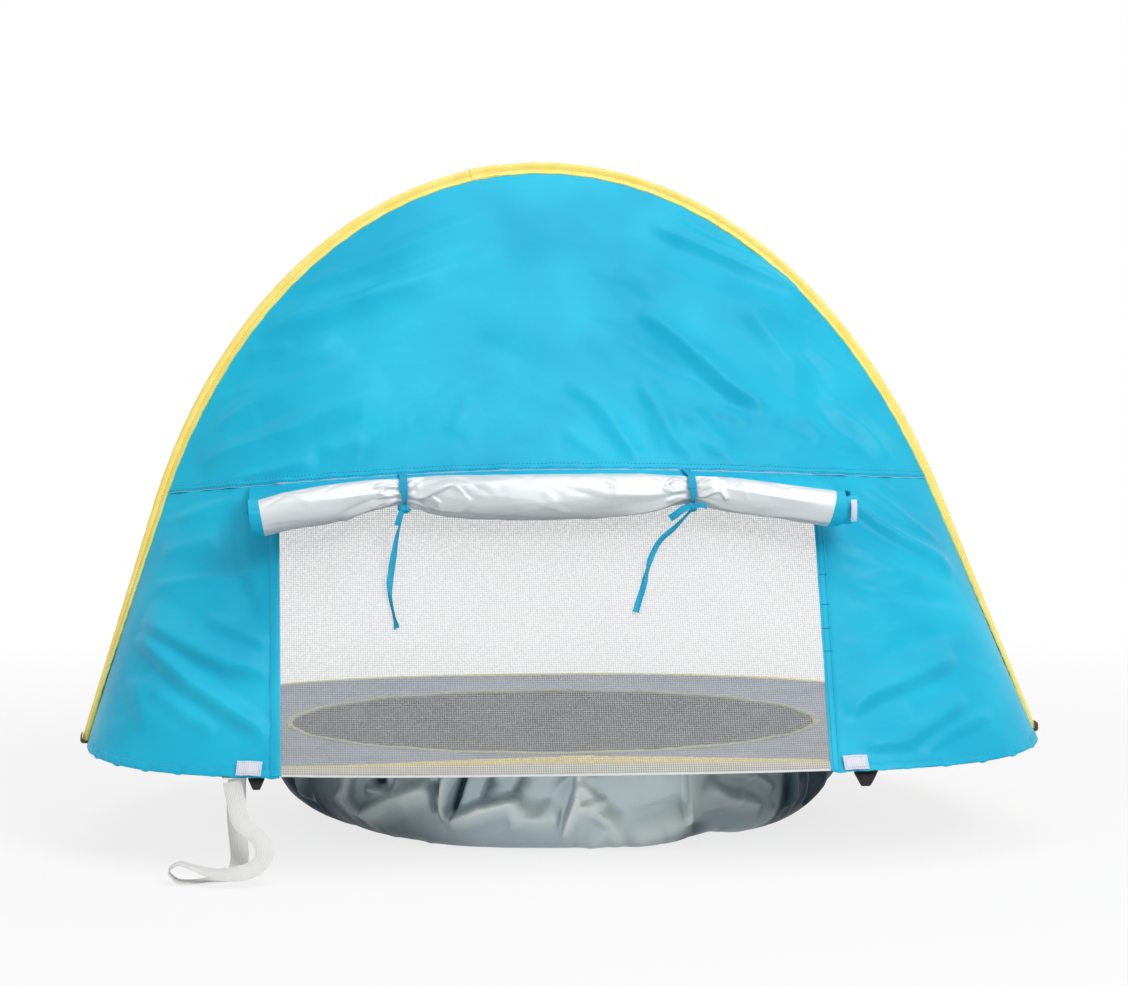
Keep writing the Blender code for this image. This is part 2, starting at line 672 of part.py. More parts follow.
def window_net():
    # Strands both ways, woven into one flat piece: a plate with a hole between each four strands
    inset = 0.0010
    xs = np.linspace(WINDOW_LEFT + inset, WINDOW_RIGHT_LOW - inset, NET_COLUMNS + 1)
    wide = xs[-1] - xs[0]
    ws = np.linspace(0.006, 0.992, NET_ROWS + 1)
    half_x = NET_STRAND / 2
    half_w = NET_STRAND / 2 / 0.43
    lines_x = []
    for i, x in enumerate(xs):
        lines_x += [x, x + half_x] if i == 0 else ([x - half_x, x] if i == NET_COLUMNS
                                                   else [x - half_x, x + half_x])
    lines_w = []
    for i, w in enumerate(ws):
        lines_w += [w, w + half_w] if i == 0 else ([w - half_w, w] if i == NET_ROWS
                                                   else [w - half_w, w + half_w])
    cols = len(lines_x)
    rows = len(lines_w)
    front = []
    back = []
    for w in lines_w:
        spread = (window_edge(True, w) - WINDOW_RIGHT_LOW) / wide
        for x in [x + (x - xs[0]) * spread for x in lines_x]:
            p = window_point(x, w)
            n = surface_normal(window_point, x, w)
            front.append(p + n * 0.0005)
            back.append(p - n * 0.0005)
    count = rows * cols
    faces = []

    def solid_cell(r, c):
        return 0 <= r < rows - 1 and 0 <= c < cols - 1 and not (r % 2 == 1 and c % 2 == 1)

    for r in range(rows - 1):
        for c in range(cols - 1):
            if not solid_cell(r, c):
                continue
            quad = (r * cols + c, r * cols + c + 1, (r + 1) * cols + c + 1, (r + 1) * cols + c)
            faces.append(quad)
            faces.append(tuple(count + k for k in reversed(quad)))
            sides = (((r - 1, c), quad[0], quad[1]), ((r, c + 1), quad[1], quad[2]),
                     ((r + 1, c), quad[2], quad[3]), ((r, c - 1), quad[3], quad[0]))
            for beside, a, b in sides:
                if not solid_cell(*beside):
                    faces.append((b, a, a + count, b + count))
    solid("window_mesh", place(front + back), faces, NET, 0)


def wall_tape(name, route, wide, thick, lift, look):
    # A tape laid on the wall's outside along a route of (x, share of the wall's height)
    flat = [surface_normal(window_point, x, w) for x, w in route]
    line = np.array([window_point(x, w) + n * lift for (x, w), n in zip(route, flat)])
    sides = [np.cross(n, t) for n, t in zip(flat, tangents(line, False))]
    points, faces = ribbon(line, sides, [wide] * len(line), thick)
    solid(name, place(points), faces, look, 30.0)


def wall_tapes():
    reach = 0.93
    seam_route = [(x, 1.0) for x in np.linspace(SEAM_LEFT[0] * reach, SEAM_RIGHT[0] * reach, 25)]
    wall_tape("seam_tape", seam_route, 0.009, 0.0008, 0.0034, BLUE)
    hem_route = [(x, 0.012) for x in np.linspace(WINDOW_LEFT + 0.012, WINDOW_RIGHT_LOW - 0.012, 17)]
    wall_tape("window_hem_tape", hem_route, 0.006, 0.0006, 0.0014, NET)
    for name, right in (("window_tape_left", False), ("window_tape_right", True)):
        route = [(window_edge(right, w), w) for w in np.linspace(0.03, 0.95, 8)]
        wall_tape(name, route, 0.011, 0.0006, 0.0026, BLUE)


side_panels()
upper_panel()
window_net()
wall_tapes()


# Window cover, rolled up under the seam and tied with two tapes

# Along the roll: x, y and z of its middle, above the floor and from the feet, and its radius
ROLL = [(-0.367, -0.067, 0.288, 0.0300), (-0.330, -0.063, 0.294, 0.0295), (-0.262, -0.056, 0.303, 0.0265),
        (-0.220, -0.052, 0.309, 0.0205), (-0.198, -0.051, 0.311, 0.0170), (-0.176, -0.052, 0.310, 0.0205),
        (-0.140, -0.055, 0.306, 0.0265), (-0.027, -0.057, 0.304, 0.0280), (0.090, -0.055, 0.306, 0.0265),
        (0.128, -0.052, 0.310, 0.0205), (0.149, -0.051, 0.311, 0.0170), (0.170, -0.052, 0.309, 0.0205),
        (0.200, -0.054, 0.305, 0.0250), (0.270, -0.059, 0.298, 0.0265), (0.319, -0.063, 0.293, 0.0270)]
TIES = {"left": -0.198, "right": 0.149}
TIE_RADIUS = 0.0205
TIE_CLEAR = 0.0006
KNOT_RADIUS = 0.0060


def roll_at(x):
    # The middle of the roll and its radius
    table = np.array(ROLL)
    return (np.array([x] + [np.interp(x, table[:, 0], table[:, k]) for k in (1, 2)]),
            np.interp(x, table[:, 0], table[:, 3]))


def knot_at(side):
    # Middle of the knot, below and behind the roll where its tape goes round
    way = vec(0.0, -0.62, -0.78)
    return roll_at(TIES[side])[0] + way * (TIE_RADIUS + TIE_CLEAR + TAPE_THICK + KNOT_RADIUS + GAP)


def roll_section(radius, x, turns=14):
    # Round, with shallow gathers that deepen towards the ties
    near = max(np.exp(-((x - at) / 0.03) ** 2) for at in TIES.values())
    outline = []
    for k in range(turns):
        a = 2 * pi * k / turns
        ripple = 1.0 + (0.08 * near * sin(4 * a + 9 * x)) + 0.02 * sin(2 * a + 30 * x)
        outline.append((radius * ripple * cos(a), radius * ripple * sin(a)))
    return outline


def cover_roll():
    xs = np.concatenate([np.linspace(ROLL[0][0], -0.235, 6), np.linspace(-0.215, -0.18, 4),
                         np.linspace(-0.155, 0.10, 6), np.linspace(0.13, 0.168, 4),
                         np.linspace(0.19, ROLL[-1][0], 5)])
    line = np.array([roll_at(x)[0] for x in xs])
    up = [vec(0, 0, 1)] * len(xs)
    points, faces = sweep(line, up, lambda i: roll_section(roll_at(xs[i])[1], xs[i]))
    solid("cover_roll", place(points), faces, SILVER, 60.0)
    # At the right the inner turns of the cloth stand out further than the outer one
    for name, end, way, steps in (
            ("cover_hem_left", line[0], line[0] - line[1], [(GAP, 1.0), (0.0130, 0.94)]),
            ("cover_hem_right", line[-1], line[-1] - line[-2],
             [(GAP, 1.0), (0.0130, 0.94), (0.0136, 0.62), (0.0245, 0.60)])):
        ends = np.array([end + unit(way) * reach for reach, share in steps])
        radius = roll_at(end[0])[1]
        points, faces = sweep(ends, up[:len(ends)], lambda i: roll_section(radius * steps[i][1], end[0]))
        solid(name, place(points), faces, BLUE, 60.0)
    turns = np.radians(np.linspace(-40, 34, 8))
    strip = np.array([line[-1] + vec(0.0245, -0.0216 * cos(a), 0.0216 * sin(a)) for a in turns])
    points, faces = ribbon(strip, [vec(1, 0, 0)] * len(strip), [0.007] * len(strip), 0.0012)
    solid("cover_hook_right", place(points), faces, HOOK, 30.0)


def cover_ties():
    for side, x in TIES.items():
        centre = roll_at(x)[0]
        turns = 12
        points = []
        radius = TIE_RADIUS + TIE_CLEAR
        for dx in (-TAPE_WIDTH / 2, TAPE_WIDTH / 2):
            for r in (radius, radius + TAPE_THICK):
                points += [centre + vec(dx, r * cos(2 * pi * k / turns), r * sin(2 * pi * k / turns))
                           for k in range(turns)]
        faces = []
        for k in range(turns):
            m = (k + 1) % turns
            a, b, c, d = 0, turns, 2 * turns, 3 * turns
            faces += [(a + k, a + m, c + m, c + k), (b + k, d + k, d + m, b + m),
                      (a + k, b + k, b + m, a + m), (c + k, c + m, d + m, d + k)]
        solid("cover_tie_" + side, place(points), faces, BLUE, 30.0)
        knot = knot_at(side)
        bm = bmesh.new()
        bmesh.ops.create_uvsphere(bm, u_segments=10, v_segments=6, radius=KNOT_RADIUS)
        for vert in bm.verts:
            vert.co.x *= 1.25
            vert.co = [float(v) for v in place(knot) + np.array(vert.co)]
        mesh = bpy.data.meshes.new("knot_" + side)
        bm.to_mesh(mesh)
        bm.free()
        new_object("tie_knot_" + side, mesh, BLUE, 60.0)


# The long ends of the ties hang on the sloping window: (x, z above the floor) by hand
TAIL_LEFT = [(-0.204, 0.246), (-0.208, 0.230), (-0.212, 0.214), (-0.215, 0.198), (-0.214, 0.182),
             (-0.211, 0.167), (-0.208, 0.152)]
TAIL_RIGHT = [(0.128, 0.254), (0.110, 0.242), (0.098, 0.225), (0.092, 0.210), (0.087, 0.195),
              (0.081, 0.181), (0.076, 0.168)]
TAIL_CLEAR = 0.0060


def tail_point(x, z, clear):
    share = (z + HEM_DROP) / (seam_at(x)[2] + HEM_DROP)
    return window_point(x, share) + surface_normal(window_point, x, share) * clear


def tie_tails():
    for side, route in (("left", TAIL_LEFT), ("right", TAIL_RIGHT)):
        line = [knot_at(side) + vec(0.0, 0.001, -KNOT_RADIUS - 0.0035)]
        for i, (x, z) in enumerate(route):
            line.append(tail_point(x, z, TAIL_CLEAR + 0.016 * max(0.0, 1 - i / 3)))
        line = smooth_route(line, 18)
        normal = surface_normal(window_point, route[3][0], 0.6)
        across = [unit(np.cross(normal, t)) for t in tangents(line, False)]
        twist = [a * cos(0.5 * sin(i / 5.0)) + normal * sin(0.5 * sin(i / 5.0)) for i, a in enumerate(across)]
        points, faces = ribbon(line, twist, [TAPE_WIDTH] * len(line), TAPE_THICK)
        solid("tie_tail_" + side, place(points), faces, BLUE, 30.0)


cover_roll()
cover_ties()
tie_tails()


# Webbing pockets that hold the arch's toes on the floor hoop

def foot_pockets():
    # Seen along Y: a trough round the toe, and a tab that runs inwards under the floor hoop's sleeve
    trough = [(-0.0068, -0.0010), (-0.0058, -0.0010), (-0.0056, -0.0030), (-0.0036, -0.0042),
              (0.0036, -0.0042), (0.0056, -0.0030), (0.0056, 0.0060), (0.0068, 0.0060),
              (0.0068, -0.0036), (0.0042, -0.0054), (-0.0030, -0.0054)]
    tab = [(-0.0056, -0.0168), (-0.0330, -0.0168), (-0.0330, -0.0156), (-0.0072, -0.0156), (-0.0068, -0.0136)]
    for name, sign in (("foot_pocket_left", -1.0), ("foot_pocket_right", 1.0)):
        outline = [(sign * (FOOT_X + dx), HINGE_RISE + dz) for dx, dz in trough + tab]
        extrude_outline(name, outline, "Y", -POCKET_HALF, POCKET_HALF, BLACK)


# Stake loops under the hem, with the webbing that ties each one back to the floor hoop

# For each side: x, how far the loop hangs, its width at the top and at the bottom
STAKES = {"left": (-0.3742, 0.012, 0.019, 0.008), "right": (0.337, 0.016, 0.028, 0.010)}
WEBBING = 0.0012
TACK_Z = -0.0060
LOOP_TOP = -0.0080
LOOP_NECK = 0.4          # a loop is this much narrower at its neck, so that it can swing under its tack


def stake_loops():
    for side, (x, drop, wide, foot) in STAKES.items():
        back = hem_at(x)[1] + CLOTH / 2 + GAP
        low = TACK_Z - WEBBING / 2
        high = TACK_Z + WEBBING / 2
        outline = [(back, low), (back + 0.030, low), (back + 0.030, high), (back, high)]
        extrude_outline("stake_tack_" + side, outline, "X", x - wide / 2, x + wide / 2, BLACK)
        turns = [2 * pi * k / 12 for k in range(12)]
        down = [(1 - cos(a)) / 2 for a in turns]
        line = [vec(x, back + 0.0075 + 0.0058 * sin(a) * (LOOP_NECK + (1 - LOOP_NECK) * d), LOOP_TOP - drop * d)
                for a, d in zip(turns, down)]
        widths = [wide + (foot - wide) * d for d in down]
        points, faces = ribbon(line, [vec(1, 0, 0)] * len(line), widths, WEBBING, closed=True)
        solid("stake_loop_" + side, place(points), faces, BLACK)


def hook_tabs():
    # Hook tape sewn on the lower corners: the cover's lower edge sticks to it when it is down
    for name, x in (("hook_tab_left", -0.382), ("hook_tab_right", 0.324)):
        run = unit(hem_at(x + 0.012) - hem_at(x - 0.012))
        rise = unit(vec(0.0, 0.62, 1.0))
        out = unit(np.cross(run, rise))
        base = hem_at(x) + out * (CLOTH / 2 + 0.0022) + rise * 0.0012
        half = run * 0.0148
        high = rise * 0.018
        slab(name, [base - half, base + half, base + half + high, base - half + high], 0.0014, HOOK)


# Elastic strap that holds the folded tent: a closed loop, hanging from the hem and lying on the ground.
# Each entry is a point of its route and the way its flat side faces there.
STRAP = [((-0.402, -0.206, -0.0105), (0, -1, 0.1)), ((-0.398, -0.216, -0.031), (0, -1, 0.25)),
         ((-0.393, -0.228, -0.052), (0, -1, 0.5)), ((-0.383, -0.237, -0.0625), (0, -0.69, 0.72)),
         ((-0.372, -0.245, -0.0705), (0, -0.69, 0.72)), ((-0.365, -0.257, -0.0815), (0, -0.69, 0.72)),
         ((-0.368, -0.268, -0.0925), (0, -0.69, 0.72)), ((-0.380, -0.277, -0.101), (0, -0.69, 0.72)),
         ((-0.396, -0.281, -0.1045), (0, -0.69, 0.72)), ((-0.414, -0.277, -0.105), (0, -0.5, 0.85)),
         ((-0.432, -0.266, -0.104), (0, -0.2, 1)), ((-0.450, -0.259, -0.099), (0, 0, 1)),
         ((-0.464, -0.256, -0.0965), (-0.2, 0, 1)), ((-0.4745, -0.255, -0.1055), (-1, 0, 0)),
         ((-0.465, -0.256, -0.1160), (-0.1, 0, -1)), ((-0.450, -0.256, -0.1175), (0, 0, -1)),
         ((-0.434, -0.250, -0.1173), (0, 0, -1)), ((-0.419, -0.244, -0.1165), (0, 0.2, -1)),
         ((-0.406, -0.238, -0.1150), (0.1, 0.45, -0.85)), ((-0.397, -0.228, -0.1090), (0.1, 0.7, -0.7)),
         ((-0.394, -0.217, -0.098), (0, 0.9, -0.5)), ((-0.395, -0.207, -0.083), (0, 1, -0.35)),
         ((-0.397, -0.198, -0.065), (0, 1, -0.2)), ((-0.398, -0.191, -0.045), (0, 1, -0.1)),
         ((-0.397, -0.188, -0.026), (0, 1, 0)), ((-0.3965, -0.189, -0.0105), (0, 1, 0))]


def storage_strap():
    route = smooth_route([p for p, n in STRAP], None)
    facing = smooth_route([n for p, n in STRAP], None)
    keep = np.linspace(0, len(route) - 1, 52).round().astype(int)
    line = route[keep]
    sides = [np.cross(t, unit(f)) for t, f in zip(tangents(line, False), facing[keep])]
    points, faces = ribbon(line, sides, [STRAP_WIDTH] * len(line), STRAP_THICK)
    solid("storage_strap", place(points), faces, WHITE, 60.0)
    # The strap's ends are sewn between the hem and this tack
    outline = [(-0.2098, -0.0076), (-0.1830, -0.0076), (-0.1830, -0.0062), (-0.2098, -0.0062)]
    extrude_outline("strap_tack", outline, "X", -0.4140, -0.3850, WHITE)


foot_pockets()
stake_loops()
hook_tabs()
storage_strap()
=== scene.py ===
from functools import partialmethod
from math import acos, cos, pi, radians, sin

import bmesh
import bpy
import numpy as np
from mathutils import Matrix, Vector


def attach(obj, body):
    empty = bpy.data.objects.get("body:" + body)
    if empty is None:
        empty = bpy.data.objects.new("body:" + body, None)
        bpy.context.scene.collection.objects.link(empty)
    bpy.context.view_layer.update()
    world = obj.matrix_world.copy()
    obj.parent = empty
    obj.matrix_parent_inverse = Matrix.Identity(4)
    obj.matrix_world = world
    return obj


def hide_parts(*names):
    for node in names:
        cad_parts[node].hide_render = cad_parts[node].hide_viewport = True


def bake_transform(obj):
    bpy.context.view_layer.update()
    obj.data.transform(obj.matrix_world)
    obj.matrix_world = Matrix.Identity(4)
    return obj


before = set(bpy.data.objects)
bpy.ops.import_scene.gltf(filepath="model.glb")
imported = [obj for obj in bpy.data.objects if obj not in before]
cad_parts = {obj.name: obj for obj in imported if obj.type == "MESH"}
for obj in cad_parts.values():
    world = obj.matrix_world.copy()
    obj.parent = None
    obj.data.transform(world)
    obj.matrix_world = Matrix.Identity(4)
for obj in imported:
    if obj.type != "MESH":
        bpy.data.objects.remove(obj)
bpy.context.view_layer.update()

# The studio: a pale floor that keeps the tent's soft shadow and turns white further out, one wide
# lamp high over the photographer's right shoulder, a second above the tent and a weak one at the left.
# The camera stands a little left of the middle, 4.2 m behind the tent, at the photograph's angle.

CAMERA_AT = (-0.339, -4.348, 0.782)
CAMERA_DOWN = 4.87       # degrees
CAMERA_TURN = -4.63
CAMERA_LENS = 110.4      # on a sensor 36 mm wide
LAMPS = {"key_softbox": ((1.9, -3.1, 3.2), (0.0, 0.0, 0.35), 1.7, 70.0),
         "top_softbox": ((0.3, -0.6, 3.4), (0.0, 0.0, 0.3), 2.2, 30.0),
         "side_softbox": ((-2.9, -2.4, 1.5), (-0.1, 0.0, 0.3), 1.8, 6.0)}
ROOM_LIGHT = 0.47
PAPER_HALF = 14.0


class Link:
    """A socket in a material. Sums, products and so on of it add Math nodes."""

    def __init__(self, tree, socket=None):
        self.tree = tree
        self.socket = socket

    def node(self, kind, inputs=None, out=0, **settings):
        made = self.tree.nodes.new("ShaderNode" + kind)
        for key, value in settings.items():
            setattr(made, key, value)
        for key, value in (inputs or {}).items():
            if isinstance(value, Link):
                self.tree.links.new(value.socket, made.inputs[key])
            else:
                made.inputs[key].default_value = value
        return Link(self.tree, made.outputs[out] if made.outputs else None)

    def maths(self, operation, *others, clamp=False):
        return self.node("Math", dict(enumerate((self, *others))), operation=operation, use_clamp=clamp)

    __add__ = partialmethod(maths, "ADD")
    __mul__ = partialmethod(maths, "MULTIPLY")
    __sub__ = partialmethod(maths, "SUBTRACT")
    __truediv__ = partialmethod(maths, "DIVIDE")

    def clamped(self):
        return self.maths("ADD", 0.0, clamp=True)

    def mixed(self, *colours):
        # From one colour to the other, each a link or red, green and blue as seen in a picture
        low, high = (c if isinstance(c, Link) else rgb(*c) for c in colours)
        return self.node("Mix", {0: self, 6: low, 7: high}, 2, data_type="RGBA")

    def part(self, axis):
        return self.node("SeparateXYZ", {0: self}, "XYZ".index(axis))

    def ribs(self, axis, pace):
        # Even ribs across one axis, from 0 to 1
        return (self.part(axis) * pace).maths("SINE") * 0.5 + 0.5

    def noise(self, scale, detail=2.0, rough=0.5, distort=0.0):
        return self.node("TexNoise", {"Vector": self, "Scale": scale, "Detail": detail, "Roughness": rough,
                                      "Distortion": distort})

    def stretched(self, x, y, z):
        return self.node("VectorMath", {0: self, 1: (x, y, z)}, operation="MULTIPLY")

    def spot(self):
        return self.node("TexCoord", out="Object")

    def lay(self):
        # The place along and across a tape; on the pool's bowl, the push of its folds, its depth and its
        # painted shade
        return self.node("Attribute", out="Vector", attribute_name="lay")

    def relief(self, distance, strength=1.0):
        return self.node("Bump", {"Height": self, "Distance": distance, "Strength": strength})

    def shown_white(self):
        # 1 for what the camera sees directly, in a reflection or through glass
        seen, mirrored, through = (self.node("LightPath", out=f"Is {ray} Ray")
                                   for ray in ("Camera", "Glossy", "Transmission"))
        return seen.maths("MAXIMUM", mirrored).maths("MAXIMUM", through)


def rgb(*seen):
    # A colour as it is seen in a picture, 0 to 255, turned into the linear value a shader takes
    shares = [c / 255 for c in seen]
    return (*(s / 12.92 if s <= 0.04045 else ((s + 0.055) / 1.055) ** 2.4 for s in shares), 1.0)


def finish(name, varying, fixed=None):
    # A Principled material. varying(m) gives the links that change over the surface
    made = bpy.data.materials.new(name)
    made.use_nodes = True
    tree = made.node_tree
    shader = tree.nodes["Principled BSDF"]
    for socket, value in (fixed or {}).items():
        shader.inputs[socket].default_value = value
    for socket, link in varying(Link(tree)).items():
        tree.links.new(link.socket, shader.inputs[socket])
    return made


def added(name, data):
    made = bpy.data.objects.new(name, data)
    bpy.context.scene.collection.objects.link(made)
    return made


def studio():
    scene = bpy.context.scene
    scene.view_settings.view_transform = "Standard"
    camera = added("camera", bpy.data.cameras.new("camera"))
    camera.location = CAMERA_AT
    camera.rotation_euler = (radians(90 - CAMERA_DOWN), 0.0, radians(CAMERA_TURN))
    camera.data.lens = CAMERA_LENS
    camera.data.sensor_width = 36.0
    camera.data.clip_end = 60.0
    scene.camera = camera
    for name, (at, aim, size, watts) in LAMPS.items():
        lamp = added(name, bpy.data.lights.new(name, "AREA"))
        lamp.data.size = size
        lamp.data.energy = watts
        lamp.location = at
        lamp.rotation_euler = (Vector(aim) - Vector(at)).to_track_quat("-Z", "Y").to_euler()

    scene.world = bpy.data.worlds.new("studio")
    scene.world.use_nodes = True
    m = Link(scene.world.node_tree)
    background = m.tree.nodes["Background"]
    background.inputs["Color"].default_value = (1.0, 1.0, 1.0, 1.0)
    light = m.shown_white() * (1.0 - ROOM_LIGHT) + ROOM_LIGHT
    m.tree.links.new(light.socket, background.inputs["Strength"])

    paper = bpy.data.materials.new("studio_paper")
    paper.use_nodes = True
    paper.node_tree.nodes.clear()
    m = Link(paper.node_tree)
    far = m.node("VectorMath", {0: m.spot().stretched(0.8, 1.0, 1.0)}, "Value", operation="LENGTH")
    share = m.shown_white() * (((far - 0.75) / 1.1).clamped() * 0.22 + 0.78)
    matt = m.node("BsdfDiffuse", {"Color": (0.86, 0.86, 0.86, 1.0)})
    white = m.node("Emission", {"Color": (1.0, 1.0, 1.0, 1.0), "Strength": 1.0})
    m.node("OutputMaterial", {"Surface": m.node("MixShader", {0: share, 1: matt, 2: white})})
    mesh = bpy.data.meshes.new("studio_floor")
    corners = ((-1, -1), (1, -1), (1, 1), (-1, 1))
    mesh.from_pydata([(PAPER_HALF * x, PAPER_HALF * y, 0) for x, y in corners], [], [(0, 1, 2, 3)])
    mesh.materials.append(paper)
    floor = added("studio_floor", mesh)
    floor.location.z = -0.0004


studio()


# The floor hoop: one ring of spring wire in a bias-bound polyester sleeve. The sleeve is folded round
# the wire, stitched in the groove beside it and left as a flat edge that holds the floor sheet.
# A short second turn of binding covers the place where the sleeve's ends meet.

FEET_Y = -0.1623         # the arch's feet and the floor sheet: where the measures below start
FLOOR_Z = 0.120
FLOOR_HALF = 0.568
FLOOR_REAR = 0.235
FLOOR_FRONT = 0.565
FLOOR_BOW = 0.045
FLOOR_ROUND = 2.95
FLOOR_STEPS = 480
POOL_Y = 0.165
SLEEVE = 0.0047
FLANGE = 0.008
GROOVE = SLEEVE + 0.0012
THREAD_OUT = 0.0013


def vec(x, y, z):
    return np.array([x, y, z], dtype=float)


def shares_of(v):
    return np.clip(v, 0.0, 1.0)


def unit(v):
    v = np.asarray(v, dtype=float)
    return v / np.maximum(np.linalg.norm(v, axis=-1, keepdims=True), 1e-12)


def place(points):
    # From the feet's own frame to the tent's
    return np.asarray(points, dtype=float) + vec(0.0, FEET_Y, FLOOR_Z)


def run_of(line):
    return np.concatenate([[0.0], np.cumsum(np.linalg.norm(np.diff(line, axis=0), axis=1))])


def points_at(line, at, run=None):
    # The points of a line at given lengths along it, or at given values of run
    line = np.asarray(line, dtype=float)
    run = run_of(line) if run is None else run
    return np.stack([np.interp(at, run, column) for column in line.T], axis=-1)


def along(line, count):
    return points_at(line, np.linspace(0.0, run_of(line)[-1], count))


def tangents(line, closed=False):
    if closed:
        return unit(np.roll(line, -1, axis=0) - np.roll(line, 1, axis=0))
    return unit(np.gradient(line, axis=0))


def square_to(side, run):
    return unit(side - np.sum(side * run, axis=1, keepdims=True) * run)


def quads(rows, cols, wrap=True, closed=False):
    # The faces of a grid of points. wrap closes its rows, closed its columns
    pairs = [(c, (c + 1) % cols) for c in range(cols if wrap else cols - 1)]
    steps = [(r * cols, (r + 1) % rows * cols) for r in range(rows if closed else rows - 1)]
    return [(a + c, a + d, b + d, b + c) for a, b in steps for c, d in pairs]


def mesh_object(name, points, faces, looks, lay=None, second=None):
    # lay is each point's place along and across a tape. second marks faces of the second material
    mesh = bpy.data.meshes.new(name)
    mesh.from_pydata(place(points).tolist(), [], faces)
    for look in looks:
        mesh.materials.append(look)
    if second is not None:
        mesh.polygons.foreach_set("material_index", np.array(second, dtype=np.int32))
    if lay is not None:
        held = mesh.attributes.new("lay", "FLOAT_VECTOR", "POINT")
        held.data.foreach_set("vector", np.asarray(lay, dtype=np.float32).ravel())
    mesh.shade_smooth()
    return added(name, mesh)


def body(name, points, faces, look, smooth=50.0, lay=None):
    made = mesh_object(name, points, faces, [look], lay)
    bm = bmesh.new()
    bm.from_mesh(made.data)
    bmesh.ops.recalc_face_normals(bm, faces=bm.faces)
    bm.to_mesh(made.data)
    bm.free()
    made.data.set_sharp_from_angle(angle=radians(smooth))
    return made


def swept(name, line, side, outlines, look, closed=False, smooth=50.0):
    # A closed section carried along a line: points (a, b), a along side and b across. One outline
    # and one side can serve the whole line
    line = np.asarray(line, dtype=float)
    outlines = np.asarray(outlines, dtype=float)
    outlines = np.broadcast_to(outlines, (len(line), *outlines.shape[-2:]))
    rings, n = outlines.shape[:2]
    run = tangents(line, closed)
    a = square_to(np.broadcast_to(side, line.shape), run)
    points = line[:, None] + a[:, None] * outlines[..., :1] + np.cross(run, a)[:, None] * outlines[..., 1:]
    faces = quads(rings, n, closed=closed)
    if not closed:
        faces += [tuple(range(n)), tuple(range((rings - 1) * n, rings * n))]
    lay = np.dstack([np.broadcast_to(run_of(line)[:, None], (rings, n)), outlines])
    return body(name, points.reshape(-1, 3), faces, look, smooth, lay)


def stitches(name, line, up, look, pitch=0.0038, size=(0.0028, 0.0008, 0.0005), closed=False):
    # A row of sewing-machine stitches: short plump grains of thread end to end along a line
    line = np.asarray(line, dtype=float)
    up = np.broadcast_to(up, line.shape)
    if closed:
        line = np.vstack([line, line[:1]])
        up = np.vstack([up, up[:1]])
    run = run_of(line)
    count = max(int(run[-1] / pitch), 1)
    at = (np.arange(count) + 0.5) * run[-1] / count
    n = unit(points_at(up, at, run))
    t = unit(points_at(line, at + 0.0012) - points_at(line, at - 0.0012))
    s = np.cross(n, t)
    long, wide, high = (v / 2 for v in size)
    grain = [t * long, s * wide, n * high * 2, -s * wide, -n * high, -t * long]
    points = np.stack([points_at(line, at) + g for g in grain], axis=1).reshape(-1, 3)
    corners = [(0, 1, 2), (0, 2, 3), (0, 3, 4), (0, 4, 1), (5, 2, 1), (5, 3, 2), (5, 4, 3), (5, 1, 4)]
    faces = [tuple(6 * i + c for c in corner) for i in range(count) for corner in corners]
    return body(name, points, faces, look, 80.0)


def settle(piece, rides=None, stands_for=None):
    # Hides the node that a piece replaces and hangs the piece on the body that carries it
    if stands_for:
        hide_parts(stands_for)
    if rides:
        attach(piece, rides)
    return piece


def binding_look(m):
    # Plain-woven bias tape: the grain of its threads, faint creases and paler worn ridges
    thread = m.lay().noise(2600.0, 1.0)
    patch = m.spot().noise(34.0, 3.0, 0.6)
    pucker = m.lay().stretched(260.0, 900.0, 900.0).noise(1.0, 2.0, 0.6)
    tone = ((patch - 0.34) * 2.4).clamped().mixed((250, 222, 98), (255, 238, 134))
    return {"Base Color": ((pucker - 0.5) * 1.8).clamped().mixed(tone, (255, 246, 176)),
            "Roughness": patch * 0.2 + 0.5, "Normal": (pucker * 0.8 + thread * 0.2).relief(0.0006, 0.6)}


def rim_look(m):
    # The same tape round the pool, paler and greyer
    pucker = m.lay().stretched(260.0, 900.0, 900.0).noise(1.0, 2.0, 0.6)
    return {"Base Color": pucker.mixed((196, 188, 128), (226, 220, 164)), "Roughness": pucker * 0.2 + 0.5,
            "Normal": pucker.relief(0.0006, 0.6)}


YELLOW = finish("bias_binding", binding_look, {"Sheen Weight": 0.2})
RIM = finish("rim_binding", rim_look, {"Sheen Weight": 0.2})


def thread(name, low, high):
    def look(m):
        grain = m.spot().noise(1400.0, 1.0)
        return {"Base Color": grain.mixed(low, high), "Normal": grain.relief(0.0002, 0.5)}
    return finish(name, look, {"Roughness": 0.6})


GOLD_THREAD = thread("gold_thread", (198, 156, 56), (234, 200, 98))


def superellipse(half, reach, power, turn):
    c, s = cos(turn), sin(turn)
    return half * np.sign(c) * abs(c) ** (2 / power), reach * abs(s) ** (2 / power)


def floor_line(count):
    line = []
    for turn in np.linspace(0.0, pi, 241):
        line.append(vec(*superellipse(FLOOR_HALF, FLOOR_FRONT, 2.5, turn), 0.0))
    for turn in np.linspace(pi, 0.0, 241)[1:-1]:
        x, y = superellipse(FLOOR_HALF, FLOOR_REAR, 2.5, turn)
        bow = max(cos(x / 0.44 * pi / 2), 0.0) ** 2 if abs(x) < 0.44 else 0.0
        line.append(vec(x, -y + FLOOR_BOW * bow, 0.006 * bow))
    return along(line + line[:1], count + 1)[:-1]


